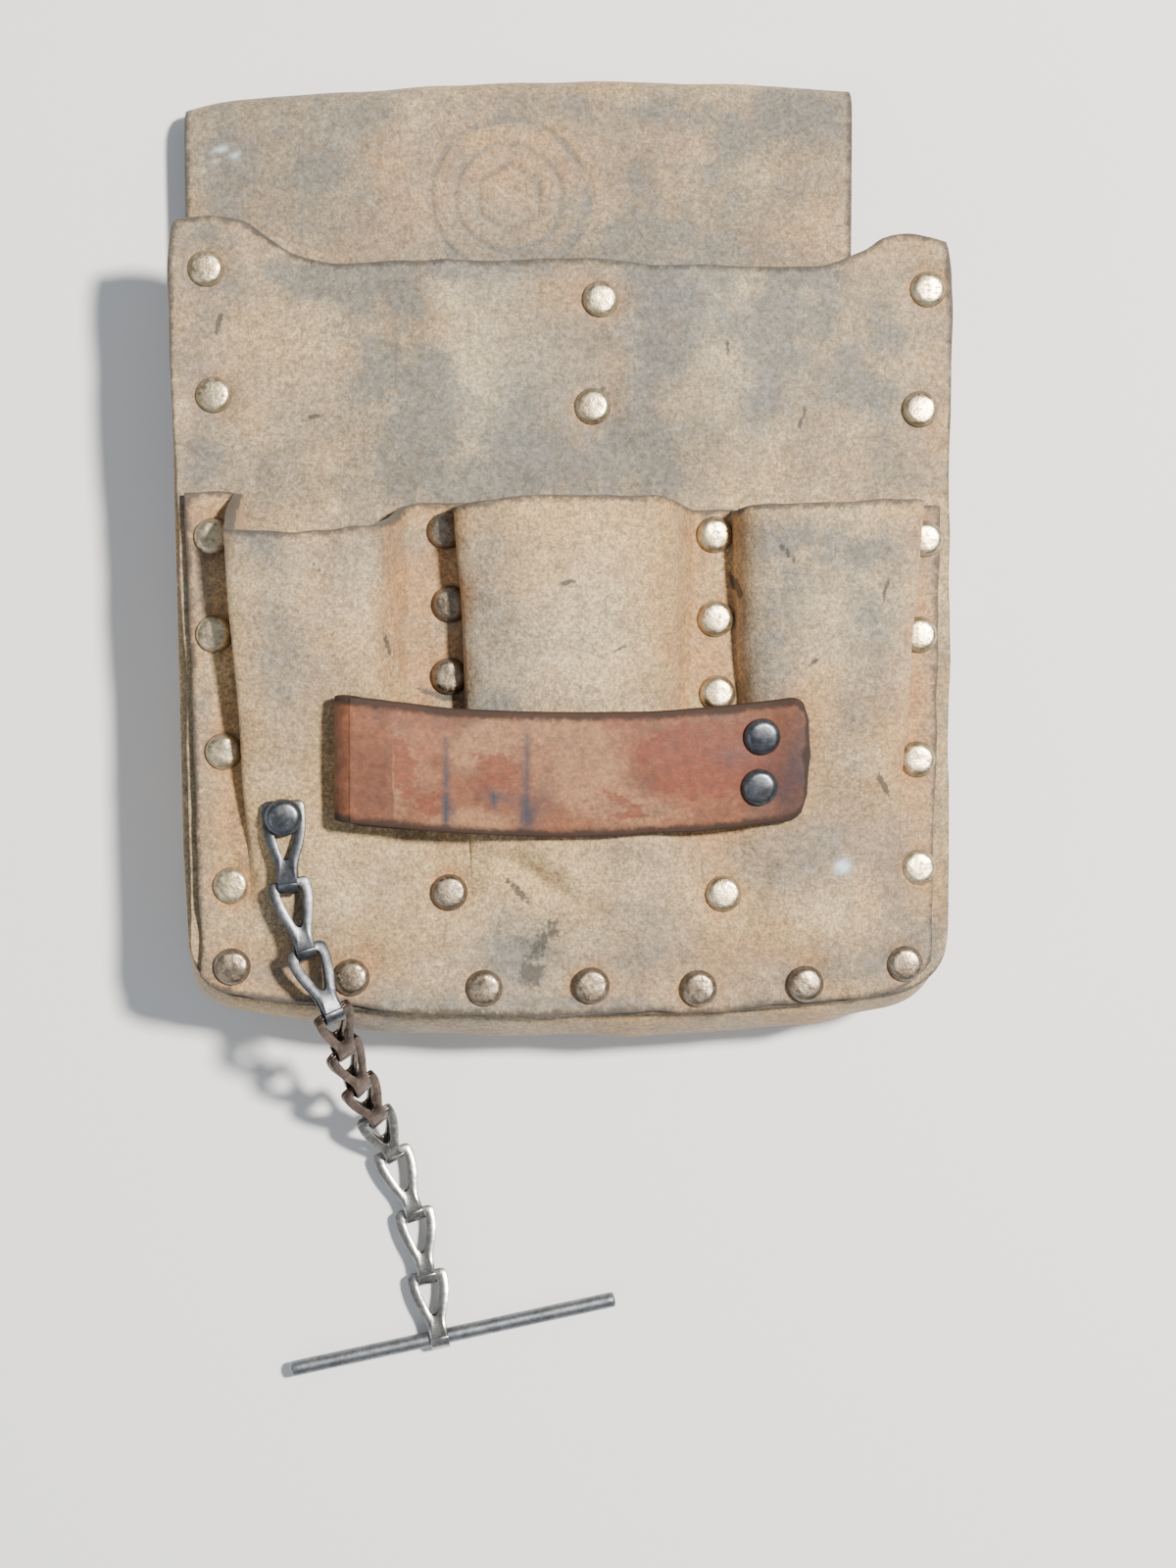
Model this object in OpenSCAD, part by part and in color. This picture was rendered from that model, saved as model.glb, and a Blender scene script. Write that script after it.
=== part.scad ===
// Electrician's leather tool pouch, lying on its back.
// X runs across the pouch, Y towards the belt, Z out of the front. The origin is
// on the flat back face, back_centre above the pouch's bottom edge. Inside the
// modules Y is counted from that bottom edge and on_back() moves it into place.

/* [Leather] */
// Thickness of the body leather
body_t = 3; // [2.6:0.1:3.2]
// Thickness of the leather of the front pockets
pocket_t = 2.8; // [2.2:0.1:3]
// Thickness of the strap
strap_t = 3.2; // [2.6:0.1:3.4]
// Width of the strap
strap_w = 31; // [26:1:33]
// Gap left between two layers of leather
layer_gap = 0.2; // [0.15:0.05:0.3]

/* [Pouch] */
// Height of the back panel, from the bottom edge to the top of the belt fold
back_h = 257; // [253:1:262]
// Height of the front panel's dipped top edge
front_h = 201; // [199:1:203]
// How far the side tabs of the front panel rise above that edge
tab_rise = 10; // [6:1:12]
// Depth of the pouch, from its back face to the face of the front panel
pouch_d = 48; // [46:1:52]
// How far the front panel bows out in its middle
front_bow = 4; // [2:0.5:5]
// How far the gusset bulges past the front panel's bottom edge
gusset_bulge = 8; // [5:0.5:9]

/* [Rivets] */
// Diameter of a rivet's domed head
head_d = 9.5; // [8.5:0.1:9.8]
// Height of a rivet's domed head
head_h = 2.3; // [1.8:0.1:2.6]
// Diameter of a rivet's shank
shank_d = 4; // [3.4:0.1:4.2]

/* [Chain] */
// Thickness of the chain's sheet metal
stock = 0.8; // [0.7:0.05:0.85]
// Length of a link, from the edge that is held to the fold that holds the next
link_reach = 17.5; // [17.3:0.1:17.7]
// Width of a link across its eye
link_w = 11; // [10.6:0.1:11.2]
// Width of a link's folded waist
waist_w = 5.1; // [4.6:0.1:5.3]
// Length of the T-bar
bar_len = 90; // [80:1:91]
// Diameter of the T-bar
bar_d = 4.1; // [3.8:0.1:4.2]

/* [Hidden] */
$fn = 48;
back_centre = 90;

// Levels of the layers above the back face
flange_low = body_t + layer_gap;
front_low = pouch_d - body_t;
flange_high = front_low - layer_gap;
pocket_low = pouch_d + layer_gap;
pocket_face = pocket_low + pocket_t;

// Outline of the front panel
front_left = 97;
front_right = 100;
bottom_edge = 8;
bottom_sweep = 7;
corner_r = 12;
tab_start = 62;
tab_run = 20;

// Gusset
flange_w = 14;
gusset_corner_r = 16;
gusset_rows = [50, 75, 105, 130, 150, 165, 187, 201, 205];
slope_gap = 3;
rear_step_left = 1;
rear_step_right = 3;

// Belt tunnel: the back panel's top is folded back and down to form it
tunnel_gap = 6.7;
tunnel_tail = 172;
tunnel_rivet_y = 181;
// How far the back panel stands off the surface it lies on, along its height
back_rise = [[0, 0], [153, 0], [168, flange_low], [190, flange_low],
             [204, body_t + tunnel_gap], [back_h, body_t + tunnel_gap]];

// Pockets: where the bag begins above the bottom edge
pocket_foot = 20;
// Each column runs from the bottom edge to the mouth of the three pockets:
// x at the bottom, x at the mouth, stand-off at the mouth, height of the top edge
pocket_columns = [
    [-93, -97, 0, 142], [-80, -85.5, 0, 141], [-79, -87, 8, 136],
    [-77.5, -87.5, 16, 131], [-74, -84.5, 19, 130], [-66, -72, 20, 130],
    [-56, -58, 20, 130.5], [-50, -49.5, 18, 131.5], [-45, -44, 9, 134],
    [-41, -40, 1.5, 138], [-38, -36, 0, 139], [-24, -26.5, 0, 139],
    [-23, -28.5, 7, 138], [-21.5, -29, 14, 137], [-18, -26, 17, 137.5],
    [-8, -10, 18, 139], [8, 8, 18, 139.5], [20, 21, 17, 139.5],
    [25, 27, 12, 138.5], [29, 31.5, 3, 137.5], [32, 34, 0, 137],
    [46, 42.5, 0, 137], [48, 43, 6, 136.5], [51, 45, 13, 137],
    [56, 50, 17, 137.7], [66, 64, 18, 138.5], [76, 80, 18, 139.5],
    [81, 88, 17, 139.5], [83.5, 91.2, 13, 139.5], [85, 91, 6, 139.5],
    [86, 89, 0, 139.5], [95, 97.5, 0, 139.7]];
pocket_rows = [0, 0.05, 0.1, 0.18, 0.3, 0.45, 0.62, 0.8, 1];

// Strap: its outer face from the riveted end, over the pockets, round the fold
// and back to the riveted tail: x, height, and how steeply it leans with Y
strap_fold = [-53.5, 67.6, 5.7];
strap_path = concat(
    [[61, 64.4, 0.15], [49, 62.8, 0.15], [30, 64.1, 0.15], [12, 65.2, 0.15],
     [-5, 66.4, 0.15], [-22, 68.2, 0.16], [-40, 71.6, 0.17]],
    [for (a = [90:22.5:270])
        [strap_fold[0] + strap_fold[2] * cos(a), strap_fold[1] + strap_fold[2] * sin(a), 0.18]],
    [[-50, 61.8, 0.18], [-44, 58.4, 0.12], [-39.5, 54.9, 0.06], [-35.5, 53.6, 0.03],
     [-27.5, 53.6, 0.02]]);
strap_y = 69.5;
strap_sag = 4.5;
strap_half = 61;

// Rivets: how much each closes on, how the strap's stand, and each one's x and
// height up the pouch
burr_t = 0.8;
front_grip = pouch_d - flange_high + body_t;
side_grip = pocket_face - flange_high + body_t;
sleeve_grip = front_grip + layer_gap + body_t;
centre_grip = body_t + layer_gap + body_t;
divider_grip = pocket_face - front_low;
strap_lean = 8.5;
strap_top = 62.9;
tail_top = 56.8;
upper_side_rivets_at = [[-92.3, 199.7], [-90.3, 167.3], [95.1, 196.5], [93, 165.2]];
upper_centre_rivets_at = [[9.1, 192.4], [7, 164.7]];
left_side_rivets_at = [[-90.5, 130.6], [-90, 105.7], [-87.7, 75.6], [-85.7, 41.3]];
right_side_rivets_at = [[93.8, 131.1], [92.3, 106.1], [91.8, 73.7], [92, 45.6]];
left_divider_rivets_at = [[-30.8, 132.2], [-29.7, 113.4], [-30, 94.9], [-29.9, 39.4]];
right_divider_rivets_at = [[38.4, 131.6], [38.6, 109.9], [39.2, 90.7], [41, 38.9]];
bottom_rivets_at = [[-85.5, 20.5], [-55.1, 17.6], [-20.9, 14.7], [6.8, 15.2],
                    [34.6, 14.4], [62.5, 15.4], [88.5, 20.5]];
strap_rivets_at = [[49.5, 79.4], [49, 66.5]];
strap_tail_rivets_at = [[-32, 77.9], [-32, 63.9]];
tunnel_rivets_at = [for (x = [-78:35:62]) [x, tunnel_rivet_y]];
back_rivets_at = [[-90, 150], [-89.5, 110], [-88.5, 70], [-86, 32], [-46, 17.5], [0, 15.5],
                  [46, 17.5], [84, 32], [83, 70], [79.5, 110], [76, 150]];

// Chain: where its rivet stands, and how each link lies against the one before:
// degrees of bend towards the back, of twist and of sideways turn
chain_rivet_at = [-72.1, 59];
chain_rivet_level = 60.4;
chain_head_lift = 2;
chain_grip = 7.6;
rivet_reach = 17;
link_pose = [[4.5, -3, 4], [-0.5, 10.5, 10], [-9.5, 6, 8.5], [55, 7.5, 5], [-5, 11.5, 2.5],
             [2.5, -7.5, 3.5], [-6.5, -10, -2.5], [-43.5, -2, -9], [-2, -3, -9], [-0.5, -1, 0]];
link_count = len(link_pose);
wrap_r = 1.9;
bar_wrap_r = bar_d / 2 + 0.3;
bar_shift = 4;
held_bar = 1.7;
leaf_gap = 0.15;

LINKS = [for (k = [1:link_count]) str("link_", k < 10 ? "0" : "", k)];

leather = "#c8b497";
nickel = "#b3aca0";
steel = "#6f7480";

// ---- Shapes that the sub-parts share ----

function mix(a, b, t) = a + (b - a) * t;
function clamp01(t) = min(1, max(0, t));
function ease(t) = let (c = clamp01(t)) c * c * (3 - 2 * c);
function unit(v) = v / norm(v);

// Half width of the front panel on one side of the middle, at a height
function front_edge(side, y) = side < 0 ? -front_left - 0.025 * y : front_right + 0.006 * y;
// Bottom edge of a panel that is this wide on the one side, with its rounded corner
function front_bottom(x, edge = front_left) = let (
        swept = bottom_edge + bottom_sweep * pow(abs(x) / front_left, 2.5),
        into = clamp01((abs(x) - (edge - corner_r)) / corner_r))
    swept + corner_r * (1 - sqrt(1 - into * into));
function front_top(x) = front_h + tab_rise * ease((abs(x) - tab_start) / tab_run);
// How far the front stands out at a place
function bow(x, y) = let (in = max(0, 1 - pow(x / 84, 2)))
    front_bow * pow(in, 1.5) * ease((y - 24) / 96);

// Direction of a line of points at one of them
function heading(line, i) = let (
        into = i > 0 ? unit(line[i] - line[i - 1]) : [0, 0],
        out = i < len(line) - 1 ? unit(line[i + 1] - line[i]) : [0, 0])
    unit(into + out);
// The line moved sideways by t, to its right
function side_of(line, t) = [for (i = [0:len(line) - 1]) let (along = heading(line, i))
    line[i] + t * [along[1], -along[0]]];
// The same, with corners that keep each stretch at its full distance
function parallel_to(line, t) = [for (i = [0:len(line) - 1]) let (
        along = heading(line, i),
        stretch = unit(i > 0 ? line[i] - line[i - 1] : line[1] - line[0]))
    line[i] + t / (along * stretch) * [along[1], -along[0]]];

// A closed sheet between two grids of points, each a list of rows
module sheet_between(top, under) {
    rows = len(top);
    cols = len(top[0]);
    last = rows * cols;
    function at(i, j, layer) = layer * last + i * cols + j;
    function pair(a, b, c, d) = [[a, b, c], [a, c, d]];
    faces = concat(
        [for (i = [0:rows - 2], j = [0:cols - 2], f = pair(
            at(i, j, 0), at(i + 1, j, 0), at(i + 1, j + 1, 0), at(i, j + 1, 0))) f],
        [for (i = [0:rows - 2], j = [0:cols - 2], f = pair(
            at(i, j, 1), at(i, j + 1, 1), at(i + 1, j + 1, 1), at(i + 1, j, 1))) f],
        [for (i = [0:rows - 2], f = pair(
            at(i, 0, 0), at(i, 0, 1), at(i + 1, 0, 1), at(i + 1, 0, 0))) f],
        [for (i = [0:rows - 2], f = pair(
            at(i + 1, cols - 1, 0), at(i + 1, cols - 1, 1), at(i, cols - 1, 1), at(i, cols - 1, 0))) f],
        [for (j = [0:cols - 2], f = pair(
            at(0, j + 1, 0), at(0, j + 1, 1), at(0, j, 1), at(0, j, 0))) f],
        [for (j = [0:cols - 2], f = pair(
            at(rows - 1, j, 0), at(rows - 1, j, 1), at(rows - 1, j + 1, 1), at(rows - 1, j + 1, 0))) f]);
    polyhedron(points = [for (grid = [top, under], row = grid, p = row) p], faces = faces);
}

module on_back() {
    translate([0, -back_centre, 0]) children();
}

// ---- Leather ----

// Path of the back panel's middle line up the back, over the top and down the tail
function tunnel_line(offset) = let (
        half = body_t / 2,
        turn_r = (tunnel_gap + body_t) / 2,
        turn_y = back_h - turn_r - half,
        up = [for (p = back_rise) if (p[0] > 0 && p[0] < back_h) p],
        front = concat([[4, half]], [for (p = up) [p[0], p[1] + half]]),
        fold = [for (a = [90:-15:-90])
            [turn_y + turn_r * cos(a), turn_r + half + turn_r * sin(a)]],
        whole = concat(front, fold, [[tunnel_tail, half]]))
    parallel_to(whole, offset);

function reverse(list) = [for (i = [len(list) - 1:-1:0]) list[i]];

module back_panel() color(leather) on_back() {
    top_corner_r = 3;
    half = body_t / 2;
    intersection() {
        rotate([90, 0, 90]) translate([0, 0, -1.2 * front_right])
            linear_extrude(2.4 * front_right)
                polygon(concat(tunnel_line(-half), reverse(tunnel_line(half))));
        linear_extrude(pouch_d) polygon(back_outline(top_corner_r));
    }
}

// Where the back panel's bottom edge has its points, as shares of its half width
back_shares = concat([-1, -0.99, -0.965, -0.93], [for (i = [-6:6]) 0.145 * i],
                     [0.93, 0.965, 0.99, 1]);
// Outline of the back panel, seen from the front: it runs past the fold at the top
function back_edge(side, y) = side < 0
    ? front_edge(side, y) + rear_step_left + 0.011 * y
    : front_edge(side, y) - rear_step_right - 0.088 * min(y, 208);
function back_outline(r) = concat(
    [for (a = [0:15:75]) [back_edge(1, back_h) - r + r * cos(a), back_h - r + r * sin(a)]],
    [[back_edge(1, back_h) - r, back_h + 1], [back_edge(-1, back_h) + r, back_h + 1]],
    [for (a = [105:15:180]) [back_edge(-1, back_h) + r + r * cos(a), back_h - r + r * sin(a)]],
    [for (share = back_shares)
        let (edge = abs(back_edge(sign(share), 30))) [share * edge, front_bottom(share * edge, edge)]],
    [[back_edge(1, 208), 208]]);

module front_panel() {
    shares = [-1, -0.97, -0.92, -0.84, -0.78, -0.72, -0.66, -0.6, -0.4, -0.2,
              0, 0.2, 0.4, 0.6, 0.66, 0.72, 0.78, 0.84, 0.92, 0.97, 1];
    rows = [0, 0.06, 0.14, 0.28, 0.42, 0.56, 0.7, 0.85, 1];
    function place(u, v) = let (
            x0 = u * front_left,
            y = mix(front_bottom(x0), front_top(x0), v),
            x = abs(u) * front_edge(u, y))
        [x, y, bow(x, y)];
    color(leather) on_back() sheet_between(
        [for (v = rows) [for (u = shares) place(u, v) + [0, 0, pouch_d]]],
        [for (v = rows) [for (u = shares) place(u, v) + [0, 0, front_low]]]);
}

// The U that the gusset follows: x, y, the way out of the pouch, the bulge, and how
// far the back edge lies inside the front edge
function gusset_path() = let (
        corner_y = front_bottom(front_left - gusset_corner_r) + gusset_corner_r,
        corner_x = [-front_left + gusset_corner_r, front_right - gusset_corner_r],
        swing = 82)
    concat(
        [for (i = [len(gusset_rows) - 1:-1:0]) let (y = gusset_rows[i])
            [front_edge(-1, y), y, 180, 1, rear_step_left + 0.011 * y]],
        [for (a = [180:swing / 5:180 + swing])
            [corner_x[0] + gusset_corner_r * cos(a), corner_y + gusset_corner_r * sin(a), a,
             mix(1, gusset_bulge - 1.5, (a - 180) / swing), rear_step_left]],
        [for (x = [-60:20:60]) [x, front_bottom(x), 270 + 8 * x / 60, gusset_bulge, 1]],
        [for (a = [360 - swing:swing / 5:360])
            [corner_x[1] + gusset_corner_r * cos(a), corner_y + gusset_corner_r * sin(a), a,
             mix(gusset_bulge - 1.5, 1, (a - 360 + swing) / swing), rear_step_right]],
        [for (y = gusset_rows)
            [front_edge(1, y), y, 0, 1, rear_step_right + 0.088 * y]]);

// Section of the gusset in its own plane: out of the pouch, and up from the back
function gusset_section(p) = let (
        low = flange_low + lookup(p[1] + slope_gap, back_rise),
        b = p[3],
        step = p[4],
        high = flange_high)
    [[-flange_w, high], [-2.5, high], [-0.4, high - 1.2],
     [b * 0.55 - step * 0.15, mix(low, high, 0.84)],
     [b * 0.92 - step * 0.3, mix(low, high, 0.68)],
     [b - step * 0.5, mix(low, high, 0.5)],
     [b * 0.92 - step * 0.7, mix(low, high, 0.32)],
     [b * 0.55 - step * 0.85, mix(low, high, 0.16)],
     [-step - 0.4, low + 1.2], [-step - 2.5, low], [-step - flange_w, low]];

module gusset() {
    function placed(p, line) = [for (q = line)
        [p[0] + q[0] * cos(p[2]), p[1] + q[0] * sin(p[2]), q[1]]];
    path = gusset_path();
    color(leather) on_back() sheet_between(
        [for (p = path) placed(p, gusset_section(p))],
        [for (p = path) placed(p, side_of(gusset_section(p), body_t))]);
}

// Level at which a strip inside the front touches it
function sleeve_level(x) = front_low + bow(x, tunnel_tail) - layer_gap;

// A strip inside the front's top: it makes two sleeves for slim tools
module tool_sleeve() color(leather) on_back() {
    low = 150;
    high = 198;
    end_level = flange_high - body_t - layer_gap;
    reach = 80;
    line = [[-reach - 14, end_level], [-reach, end_level], [-66, end_level - 3],
            [-50, end_level - 5], [-32, end_level - 4], [-16, mix(end_level, sleeve_level(-16), 0.55)],
            [-4, sleeve_level(-4)], [8, sleeve_level(8)], [20, sleeve_level(20)],
            [32, mix(end_level, sleeve_level(32), 0.55)],
            [46, end_level - 4], [60, end_level - 5], [70, end_level - 3],
            [reach + 2, end_level], [reach + 15, end_level]];
    under = side_of(line, body_t - layer_gap);
    sheet_between(
        [for (y = [low, mix(low, high, 0.5), high]) [for (p = line) [p[0], y, p[1]]]],
        [for (y = [low, mix(low, high, 0.5), high]) [for (p = under) [p[0], y, p[1]]]]);
}

// Face of the pocket leather in one column, at a share of its height
function pocket_point(c, v) = let (
        y = mix(front_bottom(c[0]) + 0.5, c[3], v),
        up = clamp01((y - pocket_foot) / (c[3] - pocket_foot)),
        x = mix(c[0], c[1], up))
    [x, y, pocket_face + c[2] * up + bow(x, y)];

// A column's offset stays in its own row, so only x and z move
function beneath(row, t) = let (line = side_of([for (p = row) [p[0], p[2]]], t))
    [for (i = [0:len(row) - 1]) [line[i][0], row[i][1], line[i][1]]];

module pocket_panel() color(leather) on_back() {
    face = [for (v = pocket_rows) [for (c = pocket_columns) pocket_point(c, v)]];
    sheet_between(face, [for (row = face) beneath(row, pocket_t)]);
}

function strap_mid(x) = strap_y + strap_sag * pow(x / strap_half, 2);

module strap_loop() {
    outer = [for (p = strap_path) [p[0], p[1]]];
    inner = side_of(outer, -strap_t);
    function across(line) = [for (i = [0:len(line) - 1]) [for (w = [0.5, 0, -0.5] * strap_w)
        [line[i][0], strap_mid(outer[i][0]) + w, line[i][1] + strap_path[i][2] * w]]];
    color("#a5694b") on_back() sheet_between(across(outer), across(inner));
}

// ---- Rivets ----

// A domed rivet standing on z = 0, with the grip it closes on and its spread end
module rivet(grip) {
    r = head_d / 2;
    dome = (r * r + head_h * head_h) / (2 * head_h);
    intersection() {
        translate([0, 0, head_h - dome]) sphere(dome);
        cylinder(r = r, h = head_h);
    }
    translate([0, 0, -grip]) cylinder(d = shank_d, h = grip + 0.5);
    translate([0, 0, -grip - 0.6]) cylinder(d = shank_d + 1.4, h = 0.6);
}

// Its washer, which the spread end holds against the leather
module burr() {
    difference() {
        cylinder(d = head_d - 0.8, h = burr_t);
        translate([0, 0, -1]) cylinder(d = shank_d + 0.1, h = burr_t + 2);
    }
}

module rivets(places, level, grip) {
    for (p = places)
        translate([p[0], p[1], level + bow(p[0], p[1])]) rivet(grip);
}

module upper_side_rivets() color(nickel) on_back()
    rivets(upper_side_rivets_at, pouch_d, sleeve_grip + burr_t);
module upper_centre_rivets() color(nickel) on_back()
    rivets(upper_centre_rivets_at, pouch_d, centre_grip + burr_t);
module left_side_rivets() color(nickel) on_back()
    rivets(left_side_rivets_at, pocket_face, side_grip + burr_t);
module right_side_rivets() color(nickel) on_back()
    rivets(right_side_rivets_at, pocket_face, side_grip + burr_t);
module left_divider_rivets() color(nickel) on_back()
    rivets(left_divider_rivets_at, pocket_face, divider_grip + burr_t);
module right_divider_rivets() color(nickel) on_back()
    rivets(right_divider_rivets_at, pocket_face, divider_grip + burr_t);
module bottom_rivets() color(nickel) on_back()
    rivets(bottom_rivets_at, pocket_face, side_grip + burr_t);

module strap_rivets() color(steel) on_back() {
    for (p = strap_rivets_at)
        translate([p[0], p[1], strap_top + 0.15 * (p[1] - strap_mid(p[0]))])
            rotate([strap_lean, 0, 0]) rivet(strap_t + pocket_t + 3.4);
}

module strap_tail_rivets() color(steel) on_back()
    for (p = strap_tail_rivets_at)
        translate([p[0], p[1], tail_top]) rivet(tail_top - front_low - 2 + burr_t);

module chain_rivet() color(steel) on_back()
    translate([chain_rivet_at[0], chain_rivet_at[1], chain_rivet_level])
        rotate([link_pose[0][0], 0, 0])
            translate([0, 0, chain_head_lift]) rivet(chain_grip);

// Rivets of the back: heads inside the pouch, washers sunk flush into the back
module back_rivets() color(nickel) on_back()
    for (p = back_rivets_at)
        translate([p[0], p[1], flange_low + body_t]) rivet(flange_low + body_t - 1);
module tunnel_rivets() color(nickel) on_back()
    for (p = tunnel_rivets_at)
        translate([p[0], p[1], flange_low + body_t]) rivet(flange_low + body_t - 1);

module back_burrs() color(nickel) on_back()
    for (p = concat(back_rivets_at, tunnel_rivets_at))
        translate([p[0], p[1], 1.1]) burr();

module burrs_under(places, level, grip) {
    for (p = places)
        translate([p[0], p[1], level + bow(p[0], p[1]) - grip - burr_t]) burr();
}

module front_burrs() color(nickel) on_back() {
    burrs_under(upper_side_rivets_at, pouch_d, sleeve_grip);
    burrs_under(upper_centre_rivets_at, pouch_d, centre_grip);
    burrs_under(concat(left_side_rivets_at, right_side_rivets_at, bottom_rivets_at),
                pocket_face, side_grip);
    burrs_under(concat(left_divider_rivets_at, right_divider_rivets_at), pocket_face, divider_grip);
}

// ---- Chain ----

// A turn by a bend, a twist and a sideways turn, as the rows of a matrix
function turned(p) = let (
        bend = [[1, 0, 0], [0, cos(p[0]), -sin(p[0])], [0, sin(p[0]), cos(p[0])]],
        twist = [[cos(p[1]), 0, sin(p[1])], [0, 1, 0], [-sin(p[1]), 0, cos(p[1])]],
        side = [[cos(p[2]), -sin(p[2]), 0], [sin(p[2]), cos(p[2]), 0], [0, 0, 1]])
    bend * twist * side;
function reach_of(k) = k == 0 ? rivet_reach : link_reach;
function link_turn(k) = k == 0 ? turned(link_pose[0]) : link_turn(k - 1) * turned(link_pose[k]);
// Where a link is held: link 0 by the chain's rivet, the others by the fold before
function link_place(k) = k == 0
    ? [chain_rivet_at[0], chain_rivet_at[1], chain_rivet_level]
    : link_place(k - 1) + link_turn(k - 1) * [0, -reach_of(k - 1), 0];

module at_link(k) {
    m = link_turn(k);
    p = link_place(k);
    multmatrix([concat(m[0], p[0]), concat(m[1], p[1]), concat(m[2], p[2])]) children();
}

// A link is one stamping of two eyes, folded at its waist. The eyes lie together
// round y = top, and the fold is a ring round the X axis at y = -reach
module link(top, reach, ring_r) {
    eye = link_w / 2;
    waist = waist_w / 2;
    bar = held_bar / 2;
    wall = 1.9;
    chamfer = 0.9;
    flare = [4.2, 6.6];
    leaf_at = (leaf_gap + stock) / 2;
    length = top + reach;
    tilt = asin((ring_r + stock / 2) / norm([length, leaf_at])) - atan(leaf_at / length);
    leaf_len = length * cos(tilt) - leaf_at * sin(tilt);
    shoulder = leaf_len - 6;
    beyond = 2 * ring_r + 2 * stock;

    module leaf() {
        translate([0, 0, ring_r]) linear_extrude(stock) difference() {
            polygon([[-waist, 0], [waist, 0], [waist, flare[0]], [waist + 1, flare[1]],
                     [eye, shoulder], [eye, leaf_len + bar - chamfer],
                     [eye - chamfer, leaf_len + bar], [-eye + chamfer, leaf_len + bar],
                     [-eye, leaf_len + bar - chamfer], [-eye, shoulder],
                     [-waist - 1, flare[1]], [-waist, flare[0]]]);
            polygon([[-0.6, flare[1] - 0.8], [0.6, flare[1] - 0.8], [1.4, flare[1] + 0.4],
                     [eye - wall, shoulder], [eye - wall, leaf_len - bar - 0.7],
                     [eye - wall - 0.6, leaf_len - bar], [-eye + wall + 0.6, leaf_len - bar],
                     [-eye + wall, leaf_len - bar - 0.7], [-eye + wall, shoulder],
                     [-1.4, flare[1] + 0.4]]);
        }
    }
    translate([0, -reach, 0]) {
        rotate([-tilt, 0, 0]) leaf();
        mirror([0, 0, 1]) rotate([-tilt, 0, 0]) leaf();
        rotate([90, 0, 90]) linear_extrude(waist_w, center = true) difference() {
            circle(ring_r + stock);
            circle(ring_r);
            polygon([[0, 0], beyond * [sin(tilt), cos(tilt)], [beyond, beyond],
                     [beyond, -beyond], beyond * [sin(tilt), -cos(tilt)]]);
        }
    }
}

module chain_link(k) {
    ring_r = k == link_count - 1 ? bar_wrap_r : wrap_r;
    top = k == 0 ? shank_d / 2 + held_bar / 2 + 0.4 : 0;
    color(k < 3 ? steel : k < 6 ? "#6b5a50" : "#a3a29b") on_back()
        at_link(k) link(top, reach_of(k), ring_r);
}

module t_bar() color("#6d6f72") on_back()
    at_link(link_count - 1)
        translate([bar_shift - bar_len / 2, -link_reach, 0])
            rotate([0, 90, 0]) {
                bevel = 0.4;
                cylinder(d1 = bar_d - 2 * bevel, d2 = bar_d, h = bevel);
                translate([0, 0, bevel]) cylinder(d = bar_d, h = bar_len - 2 * bevel);
                translate([0, 0, bar_len - bevel])
                    cylinder(d1 = bar_d, d2 = bar_d - 2 * bevel, h = bevel);
            }

back_panel();
gusset();
front_panel();
tool_sleeve();
pocket_panel();
strap_loop();
upper_side_rivets();
upper_centre_rivets();
left_side_rivets();
right_side_rivets();
left_divider_rivets();
right_divider_rivets();
bottom_rivets();
strap_rivets();
strap_tail_rivets();
tunnel_rivets();
back_rivets();
chain_rivet();
front_burrs();
back_burrs();
for (k = [0:link_count - 1])
    chain_link(k);
t_bar();
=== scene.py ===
"""Looks of the electrician's leather tool pouch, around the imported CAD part.

The pouch lies on its back: X runs across it, Y towards the belt, Z out of the front.
Shapes are worked out in millimetres with Y counted from the pouch's bottom edge, as in
the part's source, and to_row() takes them into the frame.
"""

from math import asin, atan, atan2, copysign, cos, hypot, pi, radians, sin, sqrt

import bpy
import numpy as np
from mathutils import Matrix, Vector


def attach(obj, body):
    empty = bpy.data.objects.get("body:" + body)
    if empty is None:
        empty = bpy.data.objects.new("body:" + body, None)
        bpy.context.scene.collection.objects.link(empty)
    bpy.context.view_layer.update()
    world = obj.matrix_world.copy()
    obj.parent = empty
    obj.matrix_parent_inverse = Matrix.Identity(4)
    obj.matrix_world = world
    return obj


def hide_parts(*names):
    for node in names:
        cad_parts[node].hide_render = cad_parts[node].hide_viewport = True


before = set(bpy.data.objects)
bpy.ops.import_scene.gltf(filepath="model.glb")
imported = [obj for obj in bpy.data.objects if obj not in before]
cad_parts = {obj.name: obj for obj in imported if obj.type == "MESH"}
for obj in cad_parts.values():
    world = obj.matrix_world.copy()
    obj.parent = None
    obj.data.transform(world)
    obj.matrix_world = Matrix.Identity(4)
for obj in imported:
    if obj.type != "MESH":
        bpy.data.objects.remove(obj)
scene = bpy.context.scene
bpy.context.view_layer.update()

BACK_CENTRE = 90.0  # the origin's height above the bottom edge
BODY_T, SLEEVE_T, POCKET_T, STRAP_T, STRAP_W = 3.0, 2.6, 2.8, 3.2, 31.0
FLANGE_LOW, FLANGE_HIGH, FLANGE_W = 3.2, 44.8, 14  # the gusset's flanges
POUCH_D, POCKET_FACE, BACK_RIVET_LEVEL = 48.0, 51.0, 6.2
HEAD_D, HEAD_H, SHANK_D = 9.5, 2.3, 4.0


def to_row(points):
    """Millimetres from the bottom edge to the frame's metres."""
    p = np.asarray(points, float).reshape(-1, 3).copy()
    p[:, 1] -= BACK_CENTRE
    return p * 0.001


# ---- Camera, light and floor ----

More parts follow.
